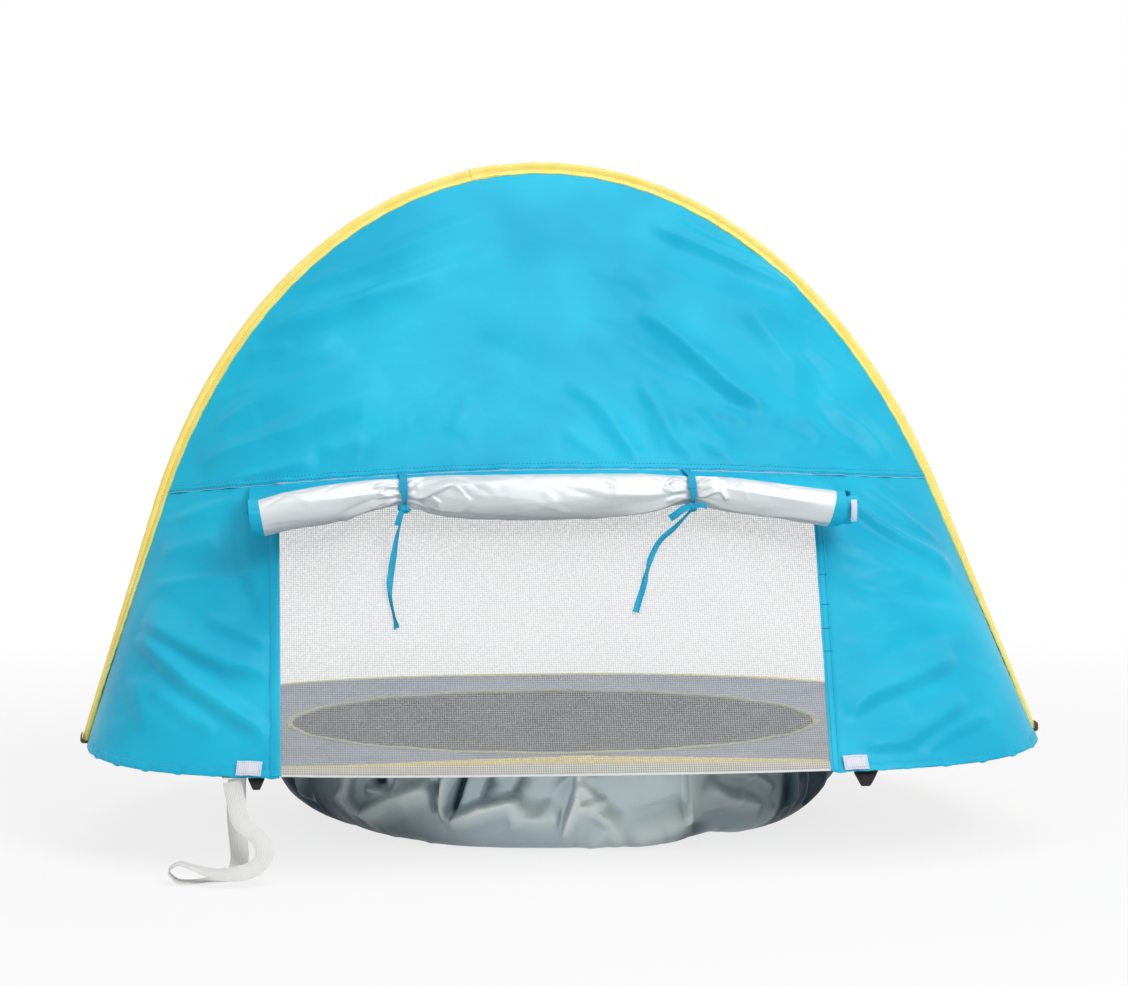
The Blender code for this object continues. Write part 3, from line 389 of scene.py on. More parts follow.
def binding_outlines(far, flanges):
    # Folded bias binding: a round channel for the wire, a sewn groove and a flat edge
    turns = np.radians(np.linspace(-138, 138, 13))
    outlines = []
    for s, flange in zip(far, flanges):
        swell = 1.0 + 0.022 * sin(s * 2 * pi / 0.0131) + 0.018 * sin(s * 2 * pi / 0.0317 + 1.0)
        lean = 0.0003 * sin(s * 2 * pi / 0.0173 + 0.4)
        ring = [(-SLEEVE * swell * cos(t), SLEEVE * swell * sin(t)) for t in turns]
        tip = SLEEVE + flange * (1.0 + 0.05 * sin(s * 2 * pi / 0.041))
        groove = min(SLEEVE + 0.0008, tip)
        puff = min(SLEEVE + 0.0034, (groove + tip) / 2)
        edge = [(groove, 0.0011), (puff, 0.0018 + lean), (tip - 0.0004, 0.0015 + lean)]
        edge += [(tip, 0.0009 + lean), (tip, -0.0007 + lean)]
        under = [(tip - 0.0004, -0.0014 + lean), (puff, -0.0017), (groove, -0.0011)]
        outlines.append(ring + edge + under)
    return outlines


def bound_wire(part, name, rows, line, side, far, flanges, across, normal, sewn, lapped, closed=False):
    # A hoop's binding, its stitches on both faces, and one more turn of tape where its ends meet
    rides = {"floor": "base", "arch": "arch"}[part]
    binding = swept(name + "_binding", line, side, binding_outlines(far, flanges), YELLOW, closed=closed)
    settle(binding, rides, part + "_sleeve")
    for face, row in zip((1.0, -1.0), rows):
        route = line + across * GROOVE + normal * THREAD_OUT * face
        settle(stitches(name + "_stitches_" + row, route[sewn], normal[sewn] * face, GOLD_THREAD,
                        closed=closed), rides)
    turns = np.radians(np.linspace(-150, 150, 15))
    flat = [(SLEEVE + 0.0068, 0.0024), (SLEEVE + 0.0072, 0.0), (SLEEVE + 0.0068, -0.0024)]
    outlines = []
    for i in range(lapped.stop - lapped.start):
        reach = SLEEVE + 0.0011 + 0.0002 * sin(1.7 * i)
        outlines.append([(-reach * cos(t), reach * sin(t)) for t in turns] + flat)
    settle(swept(name + "_lap", line[lapped], side[lapped], outlines, YELLOW), rides,
           part + "_binding_lap")


floor_ring = floor_line(FLOOR_STEPS)
floor_run = tangents(floor_ring, True)
floor_inward = np.cross(vec(0, 0, 1), floor_run)
floor_inward *= np.sign(np.sum(floor_inward * (vec(0, POOL_Y, 0) - floor_ring), axis=1))[:, None]
floor_normal = unit(np.cross(floor_run, floor_inward))
floor_normal *= np.sign(floor_normal[:, 2:])
lap_at = min(range(FLOOR_STEPS), key=lambda i: abs(floor_ring[i][0]) + 9 * (floor_ring[i][1] > 0))
floor_far = np.arange(FLOOR_STEPS) * FLOOR_ROUND / FLOOR_STEPS
bound_wire("floor", "floor_hoop", ("top", "under"), floor_ring, floor_inward, floor_far,
           [FLANGE] * FLOOR_STEPS, floor_inward, floor_normal, slice(None), slice(lap_at - 3, lap_at + 4),
           closed=True)


def steel_look(m):
    drawn = m.spot().noise(420.0, 2.0)
    shade = drawn.node("Mix", {0: drawn, 6: (0.36, 0.36, 0.37, 1.0), 7: (0.56, 0.56, 0.57, 1.0)}, 2,
                       data_type="RGBA")
    return {"Base Color": shade, "Roughness": drawn * 0.25 + 0.25}


STEEL = finish("spring_steel", steel_look, {"Metallic": 1.0})
for name in ("floor_wire", "floor_crimp", "arch_wire", "arch_crimp"):
    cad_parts[name].material_slots[0].material = STEEL


# The floor: one sheet of coated polyester sewn into the floor hoop's flat edge, with an oval
# opening for the pool. Its top is blue-grey, its underside silver, and it pulls in soft ripples
# from the hoop towards the opening.

POOL_HALF_X = 0.335
POOL_HALF_Y = 0.265


def surface(grid, wrap=False, planes=(), towards=(0.0, 0.0, 1.0)):
    # A grid of points, rows by columns, as one sheet cut along planes: points, faces and normals
    bm = bmesh.new()
    verts = [bm.verts.new(p) for p in grid.reshape(-1, 3)]
    for face in quads(*grid.shape[:2], wrap):
        bm.faces.new([verts[k] for k in face])
    for spot, way in planes:
        bmesh.ops.bisect_plane(bm, geom=bm.verts[:] + bm.edges[:] + bm.faces[:], dist=1e-6,
                               plane_co=spot, plane_no=way)
    bm.normal_update()
    bm.verts.index_update()
    points = np.array([v.co for v in bm.verts])
    normals = np.array([v.normal for v in bm.verts])
    faces = [[v.index for v in f.verts] for f in bm.faces]
    bm.free()
    if np.mean(normals @ np.asarray(towards)) < 0:
        return points, [face[::-1] for face in faces], -normals
    return points, faces, normals


def skin(name, sheet, looks, thick=0.0006, keep=None, lay=None):
    # Closes a sheet, or some of its faces, into a thin cloth with an outer and an inner face. Both
    # have the same triangles, so that neither comes through the other where the cloth is warped
    points, faces, normals = sheet
    faces = [[face[0], face[k], face[k + 1]] for i, face in enumerate(faces) if keep is None or keep[i]
             for k in range(1, len(face) - 1)]
    used = sorted({k for face in faces for k in face})
    order = {k: i for i, k in enumerate(used)}
    n = len(used)
    faces = [[order[k] for k in face] for face in faces]
    points = points[used]
    normals = normals[used]
    sides = dict.fromkeys((a, b) for face in faces for a, b in zip(face, face[1:] + face[:1]))
    rim = [(b, a, a + n, b + n) for a, b in sides if (b, a) not in sides]
    inside = [[k + n for k in face[::-1]] for face in faces]
    second = [0] * len(faces) + [len(looks) - 1] * len(faces) + [0] * len(rim)
    both = np.vstack([points + normals * thick / 2, points - normals * thick / 2])
    both_lay = None if lay is None else np.vstack([lay[used]] * 2)
    made = mesh_object(name, both, faces + inside + rim, looks, both_lay, second)
    made.data.normals_split_custom_set_from_vertices(np.vstack([normals, -normals]).tolist())
    return made


def area_of(sheet, keep=None):
    points, faces, _ = sheet
    total = 0.0
    for i, face in enumerate(faces):
        if keep is None or keep[i]:
            p = points[list(face)]
            total += 0.5 * np.linalg.norm(sum(np.cross(p[k] - p[0], p[k + 1] - p[0])
                                              for k in range(1, len(face) - 1)))
    return float(total)


def segment(at, a, b):
    # For flat places: how far along a segment their nearest point is, how far off, and on which side
    way = b - a
    off = at - a
    t = shares_of(off @ way / (way @ way))
    far = np.linalg.norm(off - t[..., None] * way, axis=-1)
    return t, far, way[0] * off[..., 1] - way[1] * off[..., 0] > 0


def creases(at, lines, sharp=1.6):
    # How far cloth stands out at flat places. A crease runs from (x, y) to (x, y), with flanks of
    # a given reach on both sides and a given height in the middle of its length
    at = np.asarray(at, dtype=float)
    lift = np.zeros(at.shape[:-1])
    for ax, ay, bx, by, reach, height in lines:
        t, far, _ = segment(at, np.array((ax, ay)), np.array((bx, by)))
        lift += height * np.sin(pi * (0.08 + 0.84 * t)) * shares_of(1.0 - far / reach) ** sharp
    return lift


def ridges(at, lines):
    # The same for folds along broken lines: corners, the reach to the left and to the right of the
    # way, and a height that runs out at both ends
    at = np.asarray(at, dtype=float)
    lift = np.zeros(at.shape[:-1])
    for corners, left, right, height in lines:
        run = run_of(corners)
        nearest = np.full(lift.shape, np.inf)
        share = np.zeros(lift.shape)
        fall = np.ones(lift.shape)
        for a, b, start in zip(corners[:-1], corners[1:], run[:-1]):
            t, far, on_left = segment(at, a, b)
            closer = far < nearest
            nearest = np.where(closer, far, nearest)
            share = np.where(closer, (start + t * np.linalg.norm(b - a)) / run[-1], share)
            fall = np.where(closer, far / np.where(on_left, left, right), fall)
        ends = shares_of(np.minimum(share, 1.0 - share) / 0.22)
        lift += height * ends * (2.0 - ends) * shares_of(1.0 - fall) ** 1.25
    return lift


def folds_of(rows, corner, reach, height=0.001):
    # Rows of corners, two reaches and a height, brought from a table's units to the ridges' own
    return [(np.reshape(row[:-3], (-1, 2)) * corner, row[-3] * reach, row[-2] * reach, row[-1] * height)
            for row in rows]


def loose_creases(seed, count, middle, spread, angle, fan, long, reach, height):
    # Small scattered creases about one direction, the same on every run
    rng = np.random.default_rng(seed)
    lines = []
    for _ in range(count):
        x, y = (m + s * rng.uniform(-1, 1) for m, s in zip(middle, spread))
        turn = radians(angle + fan * rng.normal())
        half = long * rng.uniform(0.4, 1.0) / 2
        a, b = half * cos(turn), half * sin(turn)
        lines.append((x - a, y - b, x + a, y + b, reach * rng.uniform(0.6, 1.3),
                      height * rng.uniform(-1.0, 1.0)))
    return lines


def cloth(name, low, high, crumple=0.0010, rough=0.42, fixed=None):
    # Fine taffeta: a weave that shows as grain only, small crumples and a slight drift of shade
    def look(m):
        weave = m.spot().noise(1900.0, 1.0)
        small = m.spot().noise(46.0, 3.0, 0.55, 0.6)
        drift = ((m.spot().noise(7.0, 2.0) - 0.35) * 3.2).clamped()
        return {"Base Color": (drift * 0.75 + weave * 0.25).mixed(low, high),
                "Roughness": small * 0.16 + rough - 0.08,
                "Normal": (small * 0.85 + weave * 0.15).relief(crumple, 0.55)}
    return finish(name, look, fixed)


SILVER = cloth("silver_coating", (207, 213, 216), (230, 235, 237), 0.0014, fixed={"Metallic": 0.3})
FLOOR = cloth("floor_cloth", (66, 89, 118), (88, 114, 143), 0.0012)


def pool_rim(turn, grow=0.0, z=0.0):
    return vec((POOL_HALF_X + grow) * cos(turn), POOL_Y + (POOL_HALF_Y + grow) * sin(turn), z)


outer = floor_ring + floor_inward * (SLEEVE + 0.004)
turns = np.arctan2((outer[:, 1] - POOL_Y) / POOL_HALF_Y, outer[:, 0] / POOL_HALF_X)
inner = np.array([pool_rim(t, -0.0005) for t in turns])
shares = np.linspace(0.0, 1.0, 17)[:, None]
floor_grid = outer * (1 - shares[..., None]) + inner * shares[..., None]
sag = np.sin(pi * shares)
ripple = 0.0011 * np.sin(23 * turns + 4 * shares)
floor_grid[..., 2] -= sag * (0.0035 * (0.6 + 0.4 * np.sin(3 * turns)) - ripple)
floor_lines = [(-0.50, -0.05, -0.36, 0.10, 0.030, 0.004), (-0.30, -0.13, -0.20, -0.10, 0.020, 0.003),
               (0.36, 0.02, 0.50, -0.06, 0.025, 0.004), (-0.46, 0.36, -0.33, 0.30, 0.030, 0.004),
               (0.30, 0.40, 0.42, 0.46, 0.030, 0.003), (0.02, 0.44, 0.10, 0.52, 0.030, 0.003)]
floor_grid[..., 2] += creases(floor_grid[..., :2], floor_lines) * np.sqrt(shares_of(sag))
# At the front the cloth laps over the hoop's sewn edge
lap_over = 0.0030 * shares_of((outer[:, 1] - 0.20) / 0.15) * np.exp(-(shares * 9.0) ** 2)
floor_grid[..., 2] += lap_over
floor_grid -= floor_inward * lap_over[..., None]
floor_sheet = surface(floor_grid[:, ::2], wrap=True)
floor = skin("floor_sheet_cloth", floor_sheet, [FLOOR, SILVER])
settle(floor, "base", "floor_sheet")


# The pool: a slack bowl of silver-grey coated cloth sewn under the floor's opening. A folded yellow
# tape binds the edge of the opening. The bowl's wall falls in deep loose folds and its bottom lies
# on the ground, where the cloth's spare width gathers.

POOL_IN = cloth("pool_lining", (94, 98, 100), (112, 116, 118), 0.0011, 0.5)


def pool_look(m):
    # Glossy coating with painted shade: dark navy, less metallic and rougher where the table of painted shade
    # in lay's Z says so, a painted highlight on the folds' crests and painted shade in their hollows
    small = m.spot().noise(38.0, 4.0, 0.6, 0.8)
    drift = ((m.spot().noise(8.0, 3.0) - 0.38) * 3.4).clamped()
    grain = m.spot().noise(1500.0, 1.0)
    crest = m.lay().part("X")
    # Painted shade from lay's Z: the coating turns dark navy where it faces away from the light
    deep = (m.lay().part("Z") + drift * 0.16 - 0.08).clamped()
    tone = deep.mixed((drift * 0.8 + grain * 0.2).mixed((172, 191, 198), (212, 225, 229)), (5, 38, 56))
    # Painted highlight: the crests of the folds, where lay's X is high, turn pale
    painted_crest_light = ((crest - 0.30) * 1.3).clamped().mixed(tone, deep.mixed((228, 236, 235), (92, 116, 128)))
    # Painted shade: the hollows of the folds, where lay's X is below zero, turn dark
    return {"Base Color": ((crest * -1.0 - 0.06) * 2.2).clamped().mixed(painted_crest_light, (44, 70, 82)),
            "Roughness": small * 0.2 + deep * 0.22 + 0.22, "Metallic": deep * -0.5 + 0.5,
            "Normal": (small * 0.9 + grain * 0.1).relief(0.0016, 0.6)}


POOL = finish("pool_coating", pool_look, {"Specular IOR Level": 0.18})

BOWL_FOOT = 0.70         # where the flat bottom starts, as a share of the opening's half width
BOWL_WALL = 1.01
BOWL_HALF = 0.30         # a middling half width, for lengths along the wall
# How square the lower edge is, and how far the wall stands out beyond the opening, by turn
BOWL_SQUARE = ((-pi, 2.4), (-2.6, 2.7), (-2.2, 5.0), (-1.9, 11.0), (-1.3, 11.0), (-1.0, 6.0), (-0.6, 4.6),
               (-0.2, 2.6), (0.8, 3.5), (2.4, 3.5), (pi, 2.4))
BOWL_BULGE = ((-pi, 0.060), (-2.7, 0.040), (-2.0, 0.008), (-1.0, 0.008), (-0.45, 0.050), (-0.15, 0.080),
              (0.3, 0.040), (2.6, 0.030), (pi, 0.060))
# How deep the painted shade on the coating is, by turn, at the rim, half way down and at the lower edge. It
# darkens the ends and the sides that turn away from the light
BOWL_PAINTED_SHADE = (
    (-pi, 0.95, 1.0, 1.0), (-2.80, 0.85, 1.0, 1.0), (-2.56, 0.60, 0.80, 1.0), (-2.42, 0.40, 0.60, 0.95),
    (-2.38, 0.16, 0.45, 0.9), (-2.20, 0.14, 0.40, 0.75), (-2.05, 0.1, 0.22, 0.5), (-1.88, 0.04, 0.06, 0.24),
    (-1.45, 0.0, 0.0, 0.10), (-1.20, 0.0, 0.0, 0.36), (-1.15, 0.0, 0.04, 0.50), (-1.14, 0.34, 0.44, 0.50),
    (-0.95, 0.46, 0.50, 0.34), (-0.70, 0.50, 0.56, 0.60), (-0.68, 1.0, 1.0, 0.80), (-0.30, 1.0, 1.0, 1.0),
    (0.20, 0.9, 0.9, 1.0), (0.70, 0.3, 0.4, 0.6), (2.40, 0.3, 0.4, 0.6), (2.90, 0.9, 0.9, 1.0),
    (pi, 0.95, 1.0, 1.0))
# The wall's main folds: corners as turn and depth in hundredths, the reach to both sides in
# hundredths of a radian, and the height in mm
BOWL_FOLDS = (
    (-290, 20, -280, 62, -274, 85, 7, 10, -8), (-278, 70, -266, 36, 12, 3.5, 10),
    (-254, 60, -243, 46, 3, 5, 3), (-239, 10, -242.5, 55, -237, 72, 2, 10, 11),
    (-236, 42, -222, 42, -220, 24, 2.2, 5, 6), (-230, 12, -230, 40, 5, 5, -9),
    (-240, 74, -225, 54, -207, 31, 4.5, 13, 14), (-237, 73, -224, 60, 1.2, 3, 4),
    (-207.5, 28, -206, 42, -206.5, 64, 3, 2, -6), (-202, 14, -204, 48, -202.5, 72, 5, 2, 9),
    (-194, 12, -197.5, 45, -201, 73, 1.6, 3.4, -8), (-203, 73, -190, 56, -174, 44, 3.5, 9, 11),
    (-185, 20, -189, 50, 5, 2.5, -5), (-173, 16, -178, 42, 5, 2.5, -4), (-180, 66, -160, 66, 9, 12, 7),
    (-154.5, 6, -155.5, 40, -159, 70, -160, 92, 11, 1.8, 10), (-155, 28, -147.5, 47, 2, 3, 3),
    (-155, 52, -144, 46, 2, 3, 3), (-154, 50, -144, 72, -138, 100, 8, 3.5, 9),
    (-151, 102, -144, 78, 4, 6, 6), (-136, 92, -124, 84, -112, 72, 14, 7, 10),
    (-114, 6, -114.3, 50, -115.5, 78, 13, 1.3, 11), (-110, 70, -106, 130, 9, 12, -4),
    (-108, 34, -99, 52, -80, 68, 6, 10, 10), (-102, 22, -84, 34, -74, 52, 4, 6, 6),
    (-95, 98, -80, 86, -72, 70, 8, 6, 8), (-68, 6, -67, 40, -66, 74, 9, 1.6, 12),
    (-44, 20, -40, 80, 10, 10, -10), (10, 5, 18, 60, 10, 14, 13), (55, 5, 48, 75, 14, 8, -13),
    (98, 5, 104, 42, 112, 76, 12, 5, 14), (150, 5, 142, 75, 12, 10, -12),
    (195, 5, 199, 40, 208, 78, 5, 13, 14), (245, 5, 236, 75, 12, 12, -13), (286, 5, 294, 65, 10, 7, 12))


def bowl_profile(turn):
    # Share of the opening's half width and of the depth, from the rim down the wall and inwards
    square = np.interp(turn, *zip(*BOWL_SQUARE))
    bulge = np.interp(turn, *zip(*BOWL_BULGE))
    down = np.sin(np.linspace(0.0, pi / 2, 90)) ** 0.8
    share = BOWL_FOOT + (BOWL_WALL - BOWL_FOOT) * (1.0 - down ** square) ** (1.0 / square)
    share = share + bulge * np.sin(pi * shares_of(down)) ** 0.8 - 0.01 * (1 - down) ** 3
    wall = along(np.stack([share * BOWL_HALF, down * FLOOR_Z], axis=1), 50)
    bottom = np.linspace(BOWL_FOOT, 0.0006, 17)[1:] * BOWL_HALF
    return np.vstack([wall, np.stack([bottom, np.full(16, FLOOR_Z)], axis=1)]) / (BOWL_HALF, FLOOR_Z)


def bowl():
    turns = np.concatenate([np.linspace(-pi, 0.0, 400, endpoint=False),
                            np.linspace(0.0, pi, 110, endpoint=False)])
    share, down = np.transpose([bowl_profile(t) for t in turns], (2, 1, 0))
    # Turns are as wide as 0.3 m a radian and the depth is 0.12 m, so a reach counts along the turn
    flat = np.stack([np.broadcast_to(turns, down.shape), -0.4 * down], axis=-1)
    small = [(a, b - 0.2, c, d - 0.2, reach, height) for a, b, c, d, reach, height in
             loose_creases(7, 130, (0.0, 0.0), (pi, 0.2), 62.0, 44.0, 0.24, 0.026, 0.0028)]
    push = ridges(flat, folds_of(BOWL_FOLDS, (0.01, -0.004), 0.01)) + creases(flat, small, 1.2)
    ease = shares_of(down / 0.10) * shares_of((share - 0.62) / 0.2)
    x = POOL_HALF_X * share * np.cos(turns)
    y = POOL_HALF_Y * share * np.sin(turns)
    out = unit(np.stack([x, y], axis=-1) * (1.0, 1.4))
    # The lower edge wanders: the slack cloth touches the ground here and hangs a little there
    wander = 0.5 + 0.5 * np.sin(5 * turns + 0.7) * np.cos(2 * turns)
    z = -0.0016 - (FLOOR_Z - 0.0024) * down + shares_of((down - 0.8) / 0.2) * ease * wander * 0.0015
    # Right of the middle the slack cloth is lifted clear of the ground
    raised = 0.0075 * np.exp(-((turns + 0.96) / 0.13) ** 2) * shares_of((down - 0.6) / 0.4)
    bottom = loose_creases(11, 40, (0.0, 0.0), (0.28, 0.22), 20.0, 60.0, 0.22, 0.02, 0.004)
    z = z + raised * ease + np.abs(creases(np.stack([x, y], axis=-1), bottom)) * (down > 0.97)
    step = push * ease * 1.5
    x = x + out[..., 0] * step
    y = y + out[..., 1] * step + POOL_Y
    # The coating's painted shade by turn and depth, carried to the material in lay's Z
    top, middle, low = points_at(np.array(BOWL_PAINTED_SHADE)[:, 1:], turns, np.array(BOWL_PAINTED_SHADE)[:, 0]).T
    half, rest = (shares_of(down * 2.0 - start) for start in (0.0, 1.0))
    sheen = top + (middle - top) * half + (low - middle) * rest
    grid = np.stack([x, y, np.maximum(z, 0.0009 - FLOOR_Z)], axis=-1)
    return grid, np.stack([step / 0.016, down, sheen], axis=-1)


bowl_grid, bowl_lay = bowl()
bowl_sheet = surface(bowl_grid, wrap=True, towards=(0.0, 0.0, -1.0))
pool = settle(skin("pool_bowl", bowl_sheet, [POOL, POOL_IN], 0.0007, lay=bowl_lay.reshape(-1, 3)),
              "base", "pool_basin")

rim_turns = np.linspace(0, 2 * pi, 260, endpoint=False)
rim_line = np.array([pool_rim(t, 0.0006 * sin(29 * t), 0.0006 * sin(17 * t + 1)) for t in rim_turns])
rim_out = rim_line - vec(0.0, POOL_Y, 0.0)
rim_section = []
for t in rim_turns:
    plump = 0.0018 * (1.0 + 0.12 * sin(61 * t) + 0.08 * sin(43 * t + 2))
    rim_section.append([(-0.0040, -0.0008), (-0.0030, -plump), (-0.0012, -0.0019), (0.0006, -0.0013),
                        (0.0034, -0.0014), (0.0040, -0.0004), (0.0040, 0.0006), (0.0034, 0.0014),
                        (0.0006, 0.0013), (-0.0012, 0.0019), (-0.0030, plump), (-0.0040, 0.0008)])
settle(swept("pool_rim_tape", rim_line, rim_out, rim_section, RIM, closed=True), "base",
       "pool_rim_binding")
settle(stitches("pool_rim_stitches", rim_line + unit(rim_out) * 0.0008 + vec(0, 0, 0.0014), vec(0, 0, 1),
                GOLD_THREAD, closed=True), "base")


# The arch: a second spring wire in the same bound sleeve, leaning back over the tent. Its legs run
# straight into the feet, where moulded toes on the wire's ends stand in webbing pockets. The
# pockets are sewn round the toes, with a tail that runs in under the floor hoop.

HINGE_RISE = 0.0105
FOOT_X = 0.581
ARCH_HALF = 0.534
ARCH_SLANT = 0.750
ARCH_LEAN = radians(22.5)
CROWN_SHIFT = 0.008
LEG_SWAY = 0.003
BINDING_DROP = 0.0034
HEM_HALF = 0.579
HEM_REAR = 0.245
HEM_DROP = 0.005
SEAM_LEFT_Z = 0.301
SEAM_RIGHT_Z = 0.314
SEAM_MID_Z = 0.336
SEAM_MID_Y = 0.0135
WINDOW_LEFT = -0.347
WINDOW_RIGHT_LOW = 0.295
WINDOW_RIGHT_HIGH = 0.309


def arch_at(height, x):
    share = height / ARCH_SLANT
    return vec(x - CROWN_SHIFT * share - LEG_SWAY * sin(pi * share), height * sin(ARCH_LEAN),
               height * cos(ARCH_LEAN) + HINGE_RISE)


touch = acos(ARCH_HALF / FOOT_X)
bow = [(ARCH_SLANT * sin(t), ARCH_HALF * cos(t)) for t in np.linspace(pi - touch, touch, 201)]
ARCH = np.array([arch_at(height, x) for height, x in [(0.0, -FOOT_X), *bow, (0.0, FOOT_X)]])
hem = [superellipse(HEM_HALF, HEM_REAR, 2.8, t) for t in np.linspace(pi, 0.0, 241)]
HEM = np.array([vec(x, -y, 0.010 * (abs(x) / HEM_HALF) ** 12 - HEM_DROP) for x, y in hem])


def leg_at(z, leg):
    leg = leg[np.argsort(leg[:, 2])]
    return points_at(leg, z, leg[:, 2])


# Where the cross seam and the hem end, left and right
SEAM_ENDS = (leg_at(SEAM_LEFT_Z, ARCH[:len(ARCH) // 2 + 1]), leg_at(SEAM_RIGHT_Z, ARCH[len(ARCH) // 2:]))
HEM_ENDS = (HEM[0], HEM[-1])


def seam_at(x):
    end = SEAM_ENDS[bool(x > 0)]
    share = min(abs(x / end[0]), 1.0)
    return vec(x, SEAM_MID_Y + (end[1] - SEAM_MID_Y) * share ** 4,
               SEAM_MID_Z + (end[2] - SEAM_MID_Z) * share ** 2)


def hem_at(x):
    return points_at(HEM, x, HEM[:, 0])


def hem_part(x_from, x_to, count):
    low, high = sorted((x_from, x_to))
    keep = HEM[(HEM[:, 0] > low) & (HEM[:, 0] < high)]
    line = along(np.vstack([hem_at(low), keep, hem_at(high)]), count)
    return line if x_from < x_to else line[::-1]


def window_edge(right, w):
    return WINDOW_RIGHT_LOW * (1 - w) + WINDOW_RIGHT_HIGH * w if right else WINDOW_LEFT


def wall_row(right, w, count=25):
    # A level line across the wall beside the window, from the window's edge to the arch's leg
    gap = 0.0006 if right else -0.0006
    low = hem_part(window_edge(right, 0) + gap, HEM_ENDS[right][0], count)
    xs = np.linspace(window_edge(right, 1) + gap, SEAM_ENDS[right][0], 60)
    return low * (1 - w) + along([seam_at(x) for x in xs], count) * w


def row_way(right, w):
    row = wall_row(right, w, 13)
    return unit(row[-2] - row[-1])


above_seam = ARCH[:, 2] > np.where(ARCH[:, 0] > 0, SEAM_RIGHT_Z, SEAM_LEFT_Z)
UPPER = np.vstack([SEAM_ENDS[0], ARCH[above_seam], SEAM_ENDS[1]])
SEAM = np.array([seam_at(x) for x in np.linspace(SEAM_ENDS[0][0], SEAM_ENDS[1][0], 161)])


def arch_ring_sides(ring):
    # The sewn edge follows the cloth: along the wall beside the legs, down the wall at the top
    sides = []
    run = run_of(UPPER)
    for p in ring:
        right = bool(p[0] > 0)
        rise = SEAM_ENDS[right][2]
        if p[2] < rise:
            sides.append(row_way(right, p[2] / rise))
        else:
            near = np.argmin(np.linalg.norm(UPPER - p, axis=1))
            sides.append(unit(points_at(SEAM, run[near] / run[-1] * run_of(SEAM)[-1]) - p))
    sides = np.array(sides)
    for _ in range(60):
        sides[1:-1] = (sides[:-2] + 2 * sides[1:-1] + sides[2:]) / 4
    return unit(sides)


drop = vec(0.0, 0.0, BINDING_DROP)
arch_ring = along(np.vstack([ARCH[0] - drop, ARCH, ARCH[-1] - drop]), 340)
arch_sides = arch_ring_sides(arch_ring)
arch_flanges = 0.0005 + (FLANGE - 0.0005) * shares_of((arch_ring[:, 2] - HINGE_RISE - 0.025) / 0.08)
arch_run = tangents(arch_ring)
arch_across = square_to(arch_sides, arch_run)
bound_wire("arch", "arch", ("a", "b"), arch_ring, arch_sides, run_of(arch_ring), arch_flanges, arch_across,
           np.cross(arch_run, arch_across), slice(14, -14), slice(154, 161))


def toe_look(m):
    haze = m.spot().noise(210.0, 3.0)
    return {"Base Color": haze.mixed((96, 70, 34), (138, 104, 56)), "Roughness": haze * 0.3 + 0.3,
            "Normal": haze.relief(0.0003, 0.4)}


TOE = finish("moulded_toe", toe_look)
for name in ("toe_cap_left", "toe_cap_right"):
    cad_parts[name].material_slots[0].material = TOE


def webbing(name, low, high, sheen):
    # Flat woven webbing: rounded ribs across the tape and dust in the hollows between them
    def look(m):
        warp = (m.lay().part("X") * 3600.0).maths("SINE")
        rib = warp * (m.lay().part("Y") * 3240.0).maths("SINE") * 0.5 + 0.5
        dust = m.spot().noise(160.0, 3.0)
        return {"Base Color": (rib * 0.6 + dust * 0.4).mixed(low, high), "Roughness": dust * 0.2 + 0.6,
                "Normal": rib.relief(0.0004, 0.7)}
    return finish(name, look, {"Sheen Weight": sheen})


BLACK = webbing("black_webbing", (10, 10, 11), (28, 28, 30), 0.1)
POCKET = webbing("pocket_webbing", (92, 58, 22), (146, 100, 42), 0.2)
WEBBING_THICK = 0.0012
POCKET_HALF = 0.0098
POCKET_STEPS = 14
# The bends of the webbing at a foot, from the foot's middle: the pocket, its tail and the riser
POCKET_BENDS = {
    "foot_pocket_{}_webbing": ((-0.0062, 0.0), (-0.0061, -0.0020), (-0.0052, -0.0036), (-0.0038, -0.0047),
                               (0.0, -0.0048), (0.0038, -0.0047), (0.0054, -0.0036), (0.0061, -0.0018),
                               (0.0060, 0.0010), (0.0053, 0.0058)),
    "foot_pocket_tail_{}_webbing": ((-0.0058, -0.0152), (-0.0070, -0.0160), (-0.0120, -0.0162),
                                    (-0.0220, -0.0162), (-0.0328, -0.0162)),
    "foot_pocket_riser_{}": [(-0.0066, -rise) for rise in (0.0030, 0.0070, 0.0110, 0.0150)]}


def folded_webbing(name, middle):
    # Both faces of a folded strip, from its middle line in X and Z, pushed along Y in small steps
    middle = np.asarray(middle)
    way = unit(np.gradient(middle, axis=0))
    across = np.stack([-way[:, 1], way[:, 0]], axis=1) * WEBBING_THICK / 2
    outline = np.vstack([middle + across, (middle - across)[::-1]])
    steps = np.linspace(-POCKET_HALF, POCKET_HALF, POCKET_STEPS)
    n = len(outline)
    last = n * (POCKET_STEPS - 1)
    faces = [tuple(range(n)), tuple(range(last, last + n))] + quads(POCKET_STEPS, n)
    return body(name, [(a, y, b) for y in steps for a, b in outline], faces, POCKET, 35.0,
                [(a + b, y, 0.0) for y in steps for a, b in outline])


for side, sign in (("left", -1.0), ("right", 1.0)):
    for label, bend in POCKET_BENDS.items():
        middle = [(sign * (FOOT_X + dx), HINGE_RISE + dz) for dx, dz in bend]
        piece = settle(folded_webbing(label.format(side), middle), "base")
        if label == "foot_pocket_{}_webbing":
            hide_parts("foot_pocket_" + side)


# The rear wall: sky-blue polyester, silver inside. Two side panels and an upper panel are seamed
# together under the arch and sewn into its bound edge. The side panels are cut into parts along the
# lines where the wall bends when the tent folds: its foot stays on the floor, its middle lies down
# with the hinge of the window and its top goes with the arch.

